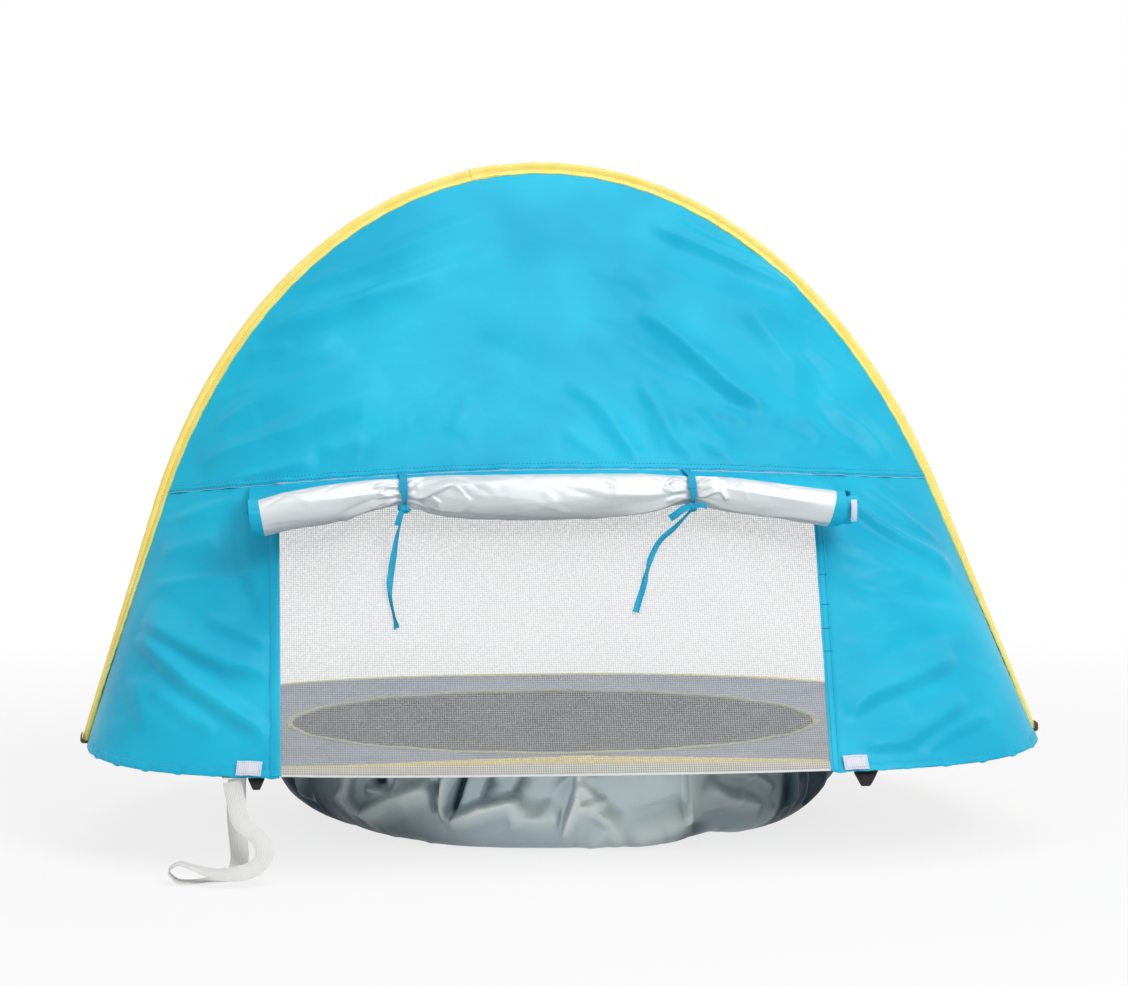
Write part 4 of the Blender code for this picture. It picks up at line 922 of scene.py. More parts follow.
BLUE = cloth("sky_polyester", (8, 171, 210), (30, 197, 231), rough=0.40, fixed={"Specular IOR Level": 0.22})
BLUE_THREAD = thread("blue_thread", (8, 110, 158), (126, 214, 238))
# The same blue thread in painted shade, for the window's right edge, its bar tacks and the cross seam
SHADED_BLUE_THREAD = thread("blue_thread_painted_shade", (2, 62, 104), (10, 104, 150))

# Cuts for folding, all from the hinge: the wall's foot is parted by the height above the floor and
# the distance behind a steep ray, its top by the distances along LEAF and from the arch's face
RAY_TILT = radians(78.75)
RAY_BACK = vec(0.0, -sin(RAY_TILT), -cos(RAY_TILT))
LEAF = unit(vec(0.0, 0.969, -0.246))
ARCH_FACE = vec(0.0, cos(ARCH_LEAN), -sin(ARCH_LEAN))
HINGE = vec(0.0, 0.0, HINGE_RISE)
FAN = 0.16
HIGH = 0.25
LOW = 0.12
BAND = 0.048
EDGE = 0.030
CLEAR = 0.0050           # from the arch's wire to the cloth's edge, and a little more near the floor
CLEAR_LOW = 0.0055
SMALLEST = 2e-5          # square metres: a smaller part of a panel is left out


def fold_planes():
    # Planes along X where two ways of following the fold agree, as a point and a normal
    planes = [(HINGE, RAY_BACK)]
    for height in (HIGH, LOW):
        way = vec(0, 0, 1) / height + RAY_BACK / FAN
        shift = 1.0 + HINGE @ RAY_BACK / FAN
        planes.append((way * shift / (way @ way), way))
    way = ARCH_FACE / EDGE - LEAF / (2 * BAND)
    planes.append((HINGE - way * 0.5 / (way @ way), way))
    return planes


def fold_parts(sheet):
    # Sorts a cut sheet's faces: low, fan_low, fan, leaf and edge
    points, faces, _ = sheet
    middle = np.array([points[list(face)].mean(axis=0) for face in faces])
    back = (middle - HINGE) @ RAY_BACK
    fan = 1.0 - back / FAN
    rise = middle[:, 2]
    leaf = back < 0
    low = ~leaf & (rise / HIGH >= fan)
    fan_low = ~leaf & ~low & (rise / LOW < fan)
    edge = leaf & (1 + (middle - HINGE) @ ARCH_FACE / EDGE > 0.5 + (middle - HINGE) @ LEAF / (2 * BAND))
    return {"low": low, "fan_low": fan_low, "fan": ~leaf & ~low & ~fan_low, "leaf": leaf & ~edge,
            "edge": edge}


def follow_fold(piece):
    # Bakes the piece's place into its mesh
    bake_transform(piece)


def sewn_on(piece, stands_for=None):
    settle(piece, stands_for=stands_for)
    follow_fold(piece)


def side_grid(right, columns, rows):
    leg = unit(SEAM_ENDS[right] - HEM_ENDS[right])
    grid = np.zeros((rows + 1, columns + 1, 3))
    for r in range(rows + 1):
        row = wall_row(right, r / rows, 60)
        way = row_way(right, r / rows)
        slant = np.linalg.norm(way - np.dot(way, leg) * leg)
        clear = (CLEAR_LOW if row[-1][2] < 0.045 else CLEAR) / slant
        keep = along(row, 200)
        reach = (1.0 - clear / run_of(row)[-1]) * run_of(keep)[-1]
        grid[r] = points_at(keep, reach * np.linspace(0, 1, columns + 1))
    return grid


def pushed(grid, lines, folds=(), sharp=1.5):
    # Pushes a grid of the wall out along its own normals in creases and folds given by x and z
    rows, cols = grid.shape[:2]
    normal = unit(np.cross(np.gradient(grid, axis=1), np.gradient(grid, axis=0)))
    if np.mean(normal[..., 1]) > 0:
        normal = -normal
    lift = creases(grid[..., [0, 2]], lines, sharp) + ridges(grid[..., [0, 2]], folds)
    beside = lift[:-2, 1:-1] + lift[2:, 1:-1] + lift[1:-1, :-2] + lift[1:-1, 2:]
    lift[1:-1, 1:-1] = beside / 8 + lift[1:-1, 1:-1] / 2
    v = np.linspace(0, 1, rows)[:, None]
    u = np.linspace(0, 1, cols)[None, :]
    for far in (v, 0.8 * (1 - v), u, 1 - u):
        lift = lift * shares_of(far / 0.06)
    return grid + normal * lift[..., None]


# Folds of the side panels in mm: corners as x and z, the reach above and below, and the height
LEFT_FOLDS = (
    (-470, 268, -430, 283, -388, 298, 10, 12, 4.5), (-490, 228, -420, 250, 14, 16, 3),
    (-500, 192, -443, 203, -358, 214, 8, 22, 3.5), (-436, 160, -400, 148, -358, 134, 16, 10, 5),
    (-512, 152, -450, 126, -405, 108, -358, 104, 34, 11, 9),
    (-518, 136, -454, 89, -402, 60, -358, 36, 21, 13, 9.5), (-500, 84, -453, 53, -420, 40, 18, 14, 4),
    (-520, 90, -500, 40, 30, 20, 4), (-405, 290, -400, 220, -372, 160, 16, 30, -5))
RIGHT_FOLDS = (
    (362, 312, 400, 288, 428, 265, 474, 230, 8, 9, 4.5), (380, 314, 398, 299, 6, 6, 2.5),
    (392, 315, 418, 295, 6, 6, 2.5), (350, 290, 384, 262, 418, 241, 452, 222, 486, 196, 17, 9, 9.5),
    (330, 256, 375, 222, 413, 205, 446, 194, 26, 14, 5), (330, 224, 370, 211, 412, 205, 6, 8, 2),
    (330, 198, 387, 187, 430, 178, 480, 168, 12, 10, -4.5), (332, 181, 366, 173, 402, 173, 8, 8, 2.6),
    (322, 139, 367, 143, 410, 146, 7, 8, 3), (366, 114, 420, 130, 484, 141, 18, 14, -3.5),
    (318, 52, 350, 71, 390, 82, 425, 93, 470, 106, 36, 10, 10),
    (330, 20, 388, 21, 425, 38, 476, 62, 22, 10, 8), (408, 11, 450, 29, 505, 43, 10, 9, 5),
    (312, 100, 335, 112, 5, 5, 1.8), (312, 82, 338, 97, 5, 5, 1.8))
BACKWARDS = (0, -1, 0)
for side, rows, seed, middle, angle in (("left", LEFT_FOLDS, 21, (-0.45, 0.15), 24.0),
                                        ("right", RIGHT_FOLDS, 22, (0.43, 0.15), 150.0)):
    lines = loose_creases(seed, 44, middle, (0.12, 0.14), angle, 24.0, 0.09, 0.010, 0.0013)
    grid = pushed(side_grid(side == "right", 66, 92), lines, folds_of(rows, 0.001, 0.001, 0.0013))
    wall = surface(grid, planes=fold_planes(), towards=BACKWARDS)
    # The seam allowance at the panel's foot runs in to the floor's hoop, where it is sewn down
    foot = grid[0]
    near = np.argmin(np.linalg.norm(floor_ring[None, :, :2] - foot[:, None, :2], axis=2), axis=1)
    hoop = floor_ring[near] - floor_inward[near] * SLEEVE * 0.9
    inwards = np.linspace(0.0, 1.0, 4)[:, None, None]
    allowance = surface(foot * (1 - inwards) + hoop * inwards, towards=(0, 0, -1))
    area = area_of(allowance)
    long = float(run_of(foot)[-1])
    joined = skin("side_panel_" + side + "_allowance", allowance, [BLUE, SILVER])
    settle(joined, "base")
    for part, keep in fold_parts(wall).items():
        area = area_of(wall, keep)
        if area < SMALLEST:
            continue
        piece = skin("side_panel_" + side + "_" + part, wall, [BLUE, SILVER], keep=keep)
        sewn_on(piece, "wall_panel_" + side if part == "low" else None)
        long = float(np.linalg.norm(np.ptp([v.co for v in piece.data.vertices], axis=0)))
        wide = area / (0.8 * long)


def upper_grid(columns, rows):
    grid = np.zeros((rows + 1, columns + 1, 3))
    upper = along(UPPER, 600)
    w = np.linspace(0, 1, rows + 1)[:, None]
    for c, share in enumerate(np.linspace(0.004, 0.996, columns + 1)):
        low = points_at(SEAM, share * run_of(SEAM)[-1])
        high, ahead, behind = (points_at(upper, min(max(s, 0), 1) * run_of(upper)[-1])
                               for s in (share, share + 0.004, share - 0.004))
        way = unit(low - high)
        edge = unit(ahead - behind)
        slant = np.linalg.norm(way - np.dot(way, edge) * edge)
        high = high + way * min(CLEAR / slant, 0.4 * np.linalg.norm(low - high))
        grid[:, c] = low * (1 - w) + high * w
    return grid


UPPER_FOLDS = (
    (-322, 540, -200, 592, -68, 646, 18, 22, 7.2), (-360, 500, -220, 540, -59, 593, 24, 24, 7.8),
    (-368, 490, -260, 524, -131, 567, 11, 16, 4.2), (-384, 464, -328, 477, 14, 14, 3.6),
    (-398, 418, -340, 448, -270, 487, 16, 22, 5.4), (-426, 378, -340, 425, -249, 473, 19, 24, 6),
    (-446, 332, -330, 374, -210, 430, 49, 24, 10.8), (-405, 315, -350, 328, -304, 343, 11, 14, 3.6),
    (-170, 327.5, -135, 352, -100, 380, 16, 19, 4.2), (-140, 375, -104, 414, 14, 19, 3),
    (-290, 350, -240, 368, 14, 16, 2.4), (126, 628, 200, 596, 258, 570, 326, 540, 26, 15, 10.2),
    (88, 590, 170, 553, 245, 522, 306, 507, 35, 43, 7.8), (168, 638, 225, 610, 280, 585, 16, 14, -5.4),
    (83, 573, 133, 545, 14, 16, 3.6), (106, 522, 154, 484, 190, 450, 218, 422, 264, 401, 30, 14, 12.6),
    (240, 522, 301, 450, 297, 412, 41, 19, 7.2), (303, 390, 331, 362, 14, 12, 4.2),
    (10, 437, 46, 410, 68, 382, 98, 332, 22, 18, 6), (99, 437, 120, 403, 136, 369, 168, 337, 20, 16, 6.6),
    (3, 381, 42, 351, 75, 328, 16, 16, 4.2), (160, 400, 212, 350, 18, 14, 4.8),
    (153, 374, 226, 328, 12, 12, 3.6), (196, 401, 236, 381, 16, 11, 3.8),
    (267, 386, 322, 359, 14, 12, -4.2), (112, 445, 182, 428, 8, 9, 2.2), (111, 396, 128, 347, 8, 9, 2.2),
    (315, 515, 357, 502, 12, 11, -3.6), (308, 473, 344, 437, 14, 11, -4.2),
    (222, 342, 304, 325, 9, 11, 2.9), (330, 412, 385, 372, 420, 334, 22, 16, 6),
    (-60, 470, -20, 560, 10, 650, 81, 95, 6))
# Scattered small creases: seed, count, middle, spread, angle, fan, length, reach and height
UPPER_SMALL = ((31, 46, (0.18, 0.50), (0.20, 0.14), -32.0, 12.0, 0.10, 0.011, 0.0013),
               (32, 46, (-0.24, 0.46), (0.18, 0.12), 26.0, 12.0, 0.10, 0.011, 0.0013),
               (33, 40, (-0.02, 0.36), (0.36, 0.04), 84.0, 18.0, 0.05, 0.009, 0.0019),
               (34, 24, (0.27, 0.36), (0.10, 0.05), -12.0, 14.0, 0.06, 0.010, 0.0018),
               (35, 30, (0.20, 0.47), (0.20, 0.13), -40.0, 9.0, 0.24, 0.034, 0.0042),
               (36, 26, (-0.22, 0.46), (0.20, 0.13), 27.0, 8.0, 0.26, 0.034, 0.0038))
lines = [line for small in UPPER_SMALL for line in loose_creases(*small)]
wall = surface(pushed(upper_grid(220, 104), lines, folds_of(UPPER_FOLDS, 0.001, 0.001)), towards=BACKWARDS)
upper_panel = skin("upper_panel", wall, [BLUE, SILVER])
sewn_on(upper_panel, "wall_panel_upper")


# The window: white insect mesh in the wall, its lower edge bound with a thin white tape. The side
# panels are folded over its side edges and stitched down with two rows, and a felled seam with two
# rows joins mesh and side panels to the upper panel.


def window_point(x, w):
    return hem_at(x) * (1 - w) + seam_at(x) * w


def wall_normal(x, w, step=0.004):
    across = window_point(x + step, w) - window_point(x - step, w)
    upward = window_point(x, min(w + step, 1.0)) - window_point(x, max(w - step, 0.0))
    return unit(np.cross(across, upward))


def threads(m, shift_x, shift_z, gap):
    # Square mesh of fine threads: 1 on a thread and 0 between them
    warp, weft = (((m.spot().part(axis) / pitch + shift).maths("FRACT") - 0.5).maths("ABSOLUTE")
                  for axis, pitch, shift in (("X", 0.0027, shift_x), ("Z", 0.0023, shift_z)))
    return ((warp.maths("MAXIMUM", weft) - gap) * 16.0).clamped()


def net_look(m):
    # The share of thread is the cloth's alpha
    uneven = m.spot().noise(320.0, 2.0, 0.6) * 0.36 - 0.18
    # The mesh is white: the grey of its threads is painted shade, as they hang lit from behind
    return {"Base Color": m.spot().noise(14.0, 2.0).mixed((199, 201, 203), (213, 215, 217)),
            "Alpha": (threads(m, 0.0, 0.0, 0.375) * 0.38 + uneven + 0.14).clamped()}


def net_hem_look(m):
    # The same mesh twice, a little out of step
    return {"Base Color": m.spot().noise(60.0, 3.0).mixed((197, 195, 188), (217, 215, 209)),
            "Alpha": (threads(m, 0.4, 0.3, 0.36) * 0.5 + 0.42).clamped()}


def tape(name, low, high, fixed=None):
    def look(m):
        rib = m.lay().ribs("X", 2400.0)
        soft = m.spot().noise(90.0, 3.0)
        return {"Base Color": (soft * 0.7 + rib * 0.3).mixed(low, high), "Roughness": soft * 0.2 + 0.5,
                "Normal": (rib * 0.6 + soft * 0.4).relief(0.0003, 0.6)}
    return finish(name, look, fixed)


NET = finish("white_mesh", net_look, {"Roughness": 0.7})
NET_HEM = finish("white_mesh_hem", net_hem_look, {"Roughness": 0.7})
BLUE_TAPE = tape("blue_tape", (4, 140, 184), (36, 182, 218), {"Specular IOR Level": 0.3})
PALE_EDGE = tape("pale_raw_edge", (104, 196, 226), (158, 216, 236))
WHITE_TAPE = tape("white_tape", (208, 210, 210), (232, 233, 232))

net_grid = []
for w in np.linspace(0.004, 0.999, 52):
    xs = np.linspace(WINDOW_LEFT - 0.004, window_edge(True, w) + 0.004, 80)
    net_grid.append([window_point(x, w) for x in xs])
net_lines = [(-0.30, 0.10, -0.22, 0.30, 0.05, 0.0022), (0.24, 0.10, 0.14, 0.31, 0.05, 0.0022),
             (-0.05, 0.04, -0.02, 0.28, 0.06, -0.0018), (0.10, 0.05, 0.05, 0.26, 0.05, 0.0016)]
net_sheet = surface(pushed(np.array(net_grid), net_lines), towards=BACKWARDS)
net = skin("window_net", net_sheet, [NET], 0.0004)
sewn_on(net, "window_mesh")


def flat_outline(wide, thick):
    # A tape's section: flat faces and rounded edges
    a = wide / 2
    b = thick / 2
    return [(-a, -b / 4), (-a + b, -b), (0.0, -b), (a - b, -b), (a, -b / 4),
            (a, b / 4), (a - b, b), (0.0, b), (-a + b, b), (-a, b / 4)]


def wall_strip(name, route, wide, thick, lift, look, wave=0.0):
    # A folded strip of cloth on the wall's outside, along a route of (x, share of the wall's height)
    flat = np.array([wall_normal(x, w) for x, w in route])
    wobble = np.array([lift + wave * sin(9.1 * i) * sin(2.3 * i) for i in range(len(route))])
    line = np.array([window_point(x, w) for x, w in route]) + flat * wobble[:, None]
    outlines = [flat_outline(a, thick) for a in np.broadcast_to(wide, len(line))]
    return swept(name, line, np.cross(flat, tangents(line)), outlines, look), line, flat


def wall_seams():
    hem = [(x, 0.0065) for x in np.linspace(WINDOW_LEFT + 0.002, WINDOW_RIGHT_LOW - 0.002, 90)]
    strip, _, _ = wall_strip("window_lower_tape", hem, 0.0026, 0.0009, 0.0009, WHITE_TAPE, 0.0002)
    sewn_on(strip, stands_for="window_hem_tape")
    # The mesh is turned up behind the tape, so its lowest part is double, most in the middle
    xs = np.linspace(WINDOW_LEFT + 0.001, WINDOW_RIGHT_LOW - 0.001, 90)
    deep = 0.0112 + 0.0044 * (1.0 - ((xs + 0.026) / 0.320) ** 2)
    hem = [(x, (0.0030 + wide / 2) / 0.43) for x, wide in zip(xs, deep)]
    sewn_on(wall_strip("window_net_hem", hem, deep, 0.0004, 0.0007, NET_HEM)[0])
    for name, right, out, look in (("left", False, -1.0, BLUE_THREAD), ("right", True, 1.0, SHADED_BLUE_THREAD)):
        route = [(window_edge(right, w) + out * 0.0048, w) for w in np.linspace(0.004, 0.975, 70)]
        strip, line, flat = wall_strip("window_edge_" + name, route, 0.0125, 0.0010, 0.0012, BLUE, 0.00025)
        sewn_on(strip, stands_for="window_tape_" + name)
        for k, shift in enumerate((-0.0034, 0.0034)):
            row = line + np.cross(flat, tangents(line)) * shift + flat * 0.0006
            sewn_on(stitches(f"window_edge_{name}_stitches_{k + 1}", row, flat, look))
    # Bar tacks across the right edge, where the row was started again
    for k, w in enumerate((0.64, 0.54, 0.46, 0.385)):
        middle = window_edge(True, w) + 0.0048
        out = wall_normal(middle, w)
        bar = [window_point(middle + dx, w) + out * 0.0022 for dx in np.linspace(-0.0058, 0.0058, 12)]
        sewn_on(stitches(f"window_edge_tack_{k + 1}", bar, out, SHADED_BLUE_THREAD, 0.0022))
    # The felled seam: a folded strip with two rows, and the cloth's pale raw edge just below it
    seam = [(x, 1.0) for x in np.linspace(SEAM_ENDS[0][0] * 0.975, SEAM_ENDS[1][0] * 0.975, 170)]
    strip, line, flat = wall_strip("cross_seam", seam, 0.0100, 0.0011, 0.0018, BLUE, 0.0012)
    sewn_on(strip, "seam_tape")
    across = np.cross(flat, tangents(line))
    down = unit(across) * -np.sign(across[:, 2:])
    for k, shift in enumerate((-0.0028, 0.0030)):
        row = stitches(f"cross_seam_stitches_{k + 1}", line + down * shift + flat * 0.0008, flat, SHADED_BLUE_THREAD,
                       0.0046)
        sewn_on(row)
    sewn_on(swept("cross_seam_raw_edge", line + down * 0.0056 - flat * 0.0006, across,
                  flat_outline(0.0012, 0.0006), PALE_EDGE))


wall_seams()


# The hem of the side panels: the cloth's lower edge turned up inside and stitched with one row.
# It hangs free, a little outside the floor hoop.

HEM_STEPS = 110
HEM_END = 0.992          # the hem stops a little short of the arch's leg

steps = np.arange(HEM_STEPS)
for side, right, out in (("left", False, -0.001), ("right", True, 0.001)):
    line = hem_part(window_edge(right, 0) + out, HEM_ENDS[right][0] * HEM_END, HEM_STEPS)
    # The sewn edge is a little ruffled
    line[:, 2] -= 0.0022 * shares_of(np.sin(steps * 0.58) * np.sin(steps * 0.17 + 0.6))
    rise = unit(wall_row(right, 0.05, HEM_STEPS) - wall_row(right, 0.0, HEM_STEPS))
    flat = unit(np.cross(tangents(line), rise))
    flat *= -np.sign(np.mean(flat[:, 1]))
    wave = 0.0007 + 0.0004 * np.sin(steps * 0.9) * np.sin(steps * 0.23)
    middle = line + rise * 0.0052 + flat * wave[:, None]
    row = middle + rise * 0.0034 + flat * 0.0007
    for piece in (swept("side_hem_" + side, middle, rise, flat_outline(0.0104, 0.0012), BLUE),
                  stitches("side_hem_stitches_" + side, row, flat, BLUE_THREAD)):
        settle(piece, "base")


# The window's cover: the same cloth as the wall, rolled up outwards so that its silver inside shows,
# and tied under the seam with two tapes. Its side hems are blue and show at the ends of the roll,
# where the turns can be seen, and the ties draw it in to gathered waists.

# The roll's middle and radius, in mm
ROLL = np.array((
    (-367, -67, 282.5, 21.8), (-334, -64, 290.5, 22.8), (-286, -59, 297.5, 24), (-240, -53, 307, 19.5),
    (-214, -51, 310.5, 16.5), (-198, -51, 311, 15), (-180, -52, 309.5, 18.5), (-140, -55, 306, 25.5),
    (-27, -57, 304, 28.5), (86, -55, 308, 23.6), (130, -52, 310.5, 17.8), (149, -51, 311, 15),
    (166, -52, 309, 18), (200, -53, 304.5, 21.6), (270, -58, 295.5, 21.4), (319, -62, 288.3, 22.2))) * 0.001
ROLL_LEFT = ROLL[0][0]
ROLL_RIGHT = ROLL[-1][0]
TIES = {"left": -0.198, "right": 0.149}


def smooth_route(points, steps=None):
    # A curve through a few chosen points, evenly spaced if steps are given
    p = np.asarray(points, dtype=float)
    p = np.vstack([2 * p[0] - p[1], p, 2 * p[-1] - p[-2]])
    fine = []
    for a, b, c, d in zip(p[:-3], p[1:-2], p[2:-1], p[3:]):
        for t in np.linspace(0.0, 1.0, 12, endpoint=False):
            fine.append(0.5 * (2 * b + (c - a) * t + (2 * a - 5 * b + 4 * c - d) * t * t
                               + (3 * b - a - 3 * c + d) * t ** 3))
    fine.append(p[-2])
    return along(fine, steps) if steps else np.array(fine)


ROLL_FINE = smooth_route(ROLL)


def roll_at(x):
    # The roll's middle and radius
    _, y, z, radius = points_at(ROLL_FINE, x, ROLL_FINE[:, 0])
    return vec(x, y, z), float(radius)


# Long wrinkles of the roll: x in mm and turn at both ends, reach and height in mm. Turn 0 is the top,
# 90 faces back
ROLL_WRINKLES = (
    (-340, 60, -220, 84, 10, 1.8), (-185, 70, -60, 40, 12, 3), (132, 96, 30, 84, 9, 2.4),
    (134, 130, 60, 150, 10, 2.4), (164, 64, 300, 78, 11, 2.2), (164, 132, 250, 150, 10, 2.2),
    (-80, 100, 20, 96, 10, 1.6))
# Sharp folds of the roll beside the ties: corners as x and turn, the reach above and below, height
ROLL_FOLDS = (
    (-274, 172, -256, 150, -240, 141, -203, 138, 14, 1.6, 4.2), (10, 170, 80, 148, 143, 136, 14, 1.6, 3.4),
    (-191, 116, -165, 84, -138, 54, 14, 1.8, 6), (-140, 50, -128, 74, -118, 98, 2.6, 10, 2.2),
    (-190, 120, -166, 88, -155, 104, -152, 140, 2.6, 9, 2.6), (-193, 66, -184, 30, -172, 12, 6, 2.2, 3.6),
    (-190, 96, -182, 62, -176, 44, 4, 2, 2.8), (-204, 70, -218, 62, -224, 84, -212, 104, 2.4, 6, 2.6),
    (-204, 40, -220, 46, -234, 66, 2.4, 5, 2.4), (-203, 108, -216, 96, -230, 100, 4, 2.4, 2),
    (143, 46, 128, 40, 118, 62, 130, 84, 2.4, 6, 2.8), (143, 80, 126, 88, 112, 70, 5, 2.2, 2.6),
    (144, 112, 130, 108, 116, 118, 5, 2.4, 2.4), (155, 116, 168, 96, 181, 78, 10, 2, 4.6),
    (181, 76, 186, 92, 190, 106, 8, 2.4, 3), (155, 60, 168, 36, 184, 22, 6, 2.2, 3.6),
    (156, 92, 166, 72, 176, 58, 4, 2, 2.6), (190, 40, 198, 58, 5, 2, 1.4), (198, 40, 207, 56, 5, 2, 1.4),
    (230, 150, 262, 138, 318, 134, 10, 2.6, 2))
AROUND = radians(1.0) * 0.026
units = (0.001, AROUND, 0.001, AROUND, 0.001, 0.001)
ROLL_LINES = [tuple(np.multiply(row, units)) for row in ROLL_WRINKLES]
ROLL_LINES += loose_creases(31, 80, (-0.02, 0.044), (0.34, 0.040), 8.0, 34.0, 0.09, 0.0065, 0.0014)
# Turns run the other way round from heights here: a fold's left side is the one above it
ROLL_RIDGES = folds_of(ROLL_FOLDS, (0.001, -radians(1.0) * 0.024), 0.001)


def roll_radius(x, turns):
    # Distance of the roll's outer layer from its middle, at turns in degrees
    base = roll_at(x)[1]
    near = max(np.exp(-((x - at) / 0.024) ** 2) for at in TIES.values())
    gather = near * (0.13 * np.abs(np.sin(np.radians(4.5 * turns + 700 * x)))
                     + 0.07 * np.cos(np.radians(11 * turns - 2000 * x)) - 0.07)
    calm = 0.012 * np.sin(np.radians(2 * turns) + 30 * x) + 0.010 * np.sin(np.radians(3 * turns) - 47 * x)
    spots = np.stack([np.full_like(turns, x), np.radians(turns) * 0.026], axis=-1)
    radius = base * (1.0 + gather + calm) + creases(spots, ROLL_LINES, 1.4) * min(base / 0.024, 1.0)
    radius += ridges(spots * (1.0, -0.024 / 0.026), ROLL_RIDGES)
    # One fold of the outer layer lies over the next, low on the side that faces away from the window
    past = turns - 146.0 - 14.0 * sin(11 * x) + 40.0 * near
    return radius - 0.0013 * shares_of(past / 7.0) * shares_of((60.0 - past) / 53.0)


# The outer layer starts at the back of the roll's top, where the cover comes down from the seam
ROLL_START = 335.0
ROLL_TURNS = 3.2
ROLL_SHARES = ((0.0, 1.0), (0.9, 0.985), (1.1, 0.90), (2.0, 0.66), (3.2, 0.28))


def spiral(x, spread=0.0):
    # One section of the rolled cover, from its outer layer inwards
    total = np.concatenate([np.linspace(0.0, 1.0, 130), np.linspace(1.0, ROLL_TURNS, 91)[1:]])
    turns = ROLL_START - 360.0 * total
    share = np.interp(total, *zip(*ROLL_SHARES))
    held = float(np.clip(x, ROLL_LEFT, ROLL_RIGHT))
    radius = np.maximum(roll_radius(held, turns % 360.0) * share, 0.0030)
    radius += spread * np.sin(np.radians(turns * 1.5))
    way = np.radians(turns)
    # Both ends are a little skewed, as a hand-rolled cover is
    skew = 0.0055 * shares_of((x - 0.26) / 0.06) - 0.0040 * shares_of((-0.31 - x) / 0.06)
    around = np.stack([x + skew * np.cos(way), -radius * np.sin(way), radius * np.cos(way)], axis=-1)
    return roll_at(held)[0] * (0, 1, 1) + around


# The grid is fine where the folds are, beside the ties
stretches = ((ROLL_LEFT, -0.29, 24), (-0.287, -0.108, 104), (-0.104, 0.086, 42), (0.089, 0.216, 84),
             (0.219, ROLL_RIGHT, 32))
sheet = surface(np.array([spiral(x) for stretch in stretches for x in np.linspace(*stretch)]))
points, faces, normals = sheet
outwards = points - np.array([roll_at(float(x))[0] for x in points[:, 0]])
if np.mean(np.sum(normals * outwards, axis=1)) < 0:
    sheet = (points, [face[::-1] for face in faces], -normals)
roll = skin("cover_roll_cloth", sheet, [SILVER, BLUE], 0.0007)
settle(roll, "back_wall", "cover_roll")

# The folded side hems of the cover, which show as turns of blue cloth at the roll's ends. On the
# right the inner turns stand out further than the outer one
for side, end, out, slant, inner in (("left", ROLL_LEFT, -1, 0.0010, 0.0),
                                     ("right", ROLL_RIGHT, 1, 0.0030, 0.013)):
    grid = []
    for share in np.linspace(0.0, 1.0, 6):
        row = spiral(end + out * (0.0001 + 0.0134 * share), 0.0006 * share)
        total = np.linspace(0.0, ROLL_TURNS, len(row))
        row[:, 0] += out * share * slant * np.sin(2 * pi * total + 0.6)
        row[:, 0] += share * inner * shares_of((np.arange(len(row)) - 118) / 22)
        grid.append(row)
    hem = settle(skin("cover_side_hem_" + side, surface(np.array(grid)), [BLUE], 0.0012),
                 "back_wall", "cover_hem_" + side)


# Where the cover leaves the seam: its blue outer face drops from the seam into the back of the roll,
# drawn into small pleats beside the ties' gathers.


def cover_top():
    xs = np.linspace(-0.382, 0.324, 150)
    ends = np.exp(-((xs + 0.345) / 0.026) ** 2) + np.exp(-((xs - 0.275) / 0.060) ** 2)
    pleats = 0.0016 * np.sin(xs * 210.0) * np.sin(xs * 47.0 + 1.0) + 0.0012 * np.sin(xs * 330.0)
    pleats = pleats * (1 + ends) + 0.0050 * ends * (np.abs(np.sin(xs * 170.0)) - 0.5)
    high = np.array([seam_at(x) + vec(0, -0.0030, -0.0045) for x in xs])
    low = np.array([middle + vec(0, 0.42, 0.91) * radius for middle, radius in map(roll_at, xs)])
    share = np.linspace(0.0, 1.0, 9)[:, None]
    grid = high * (1 - share[..., None]) + low * share[..., None]
    grid[..., 1] -= (pleats + 0.006) * np.sin(pi * share)
    sheet = surface(grid, towards=(0, -1, 0.2))
    top = settle(skin("cover_top_cloth", sheet, [BLUE, SILVER]), "back_wall")


cover_top()


def hook_look(m):
    # Hook tape: rows of tiny hooks on a stiff white base
    hooks = m.spot().noise(1100.0, 2.0, 0.7)
    both = hooks * 0.6 + m.lay().ribs("X", 2600.0) * 0.4
    return {"Base Color": both.mixed((206, 212, 236), (246, 247, 252)), "Roughness": hooks * 0.3 + 0.5,
            "Normal": both.relief(0.0006, 0.9)}


HOOK = finish("hook_tape", hook_look)

face = roll_at(ROLL_RIGHT)[0]
line = [face + vec(0.0245, -0.0216 * cos(a), 0.0216 * sin(a)) for a in np.radians(np.linspace(-40, 34, 18))]
strip = swept("cover_hook_strip", line, vec(1, 0, 0), flat_outline(0.0070, 0.0014), HOOK)
settle(strip, "back_wall", "cover_hook_right")


# The ties: narrow folded tapes of the wall's cloth, sewn into the seam, passed round the roll and
# knotted below it. Each knot leaves short ends and one long end that hangs down the window.

TIE_RADIUS = 0.0205
KNOT_RADIUS = 0.0052
TAPE_WIDTH = 0.009
TAIL_WIDTH = 0.0078
TAIL_STEPS = 44
# Half of a folded tape's section: across, through its thickness and how much its fold dips
TAPE_SHAPE = ((-1, 0.3, 0), (-0.92, 1, 0), (-0.45, 1, 0.6), (0, 1, 1), (0.45, 1, 0.6), (0.92, 1, 0),
              (1, 0.3, 0))


def tied_at(side):
    # The middle of the roll at a tie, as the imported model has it
    return vec(TIES[side], -0.051, 0.311)


def knot_at(side):
    return tied_at(side) + vec(0.0, -0.62, -0.78) * (TIE_RADIUS + 0.0042)


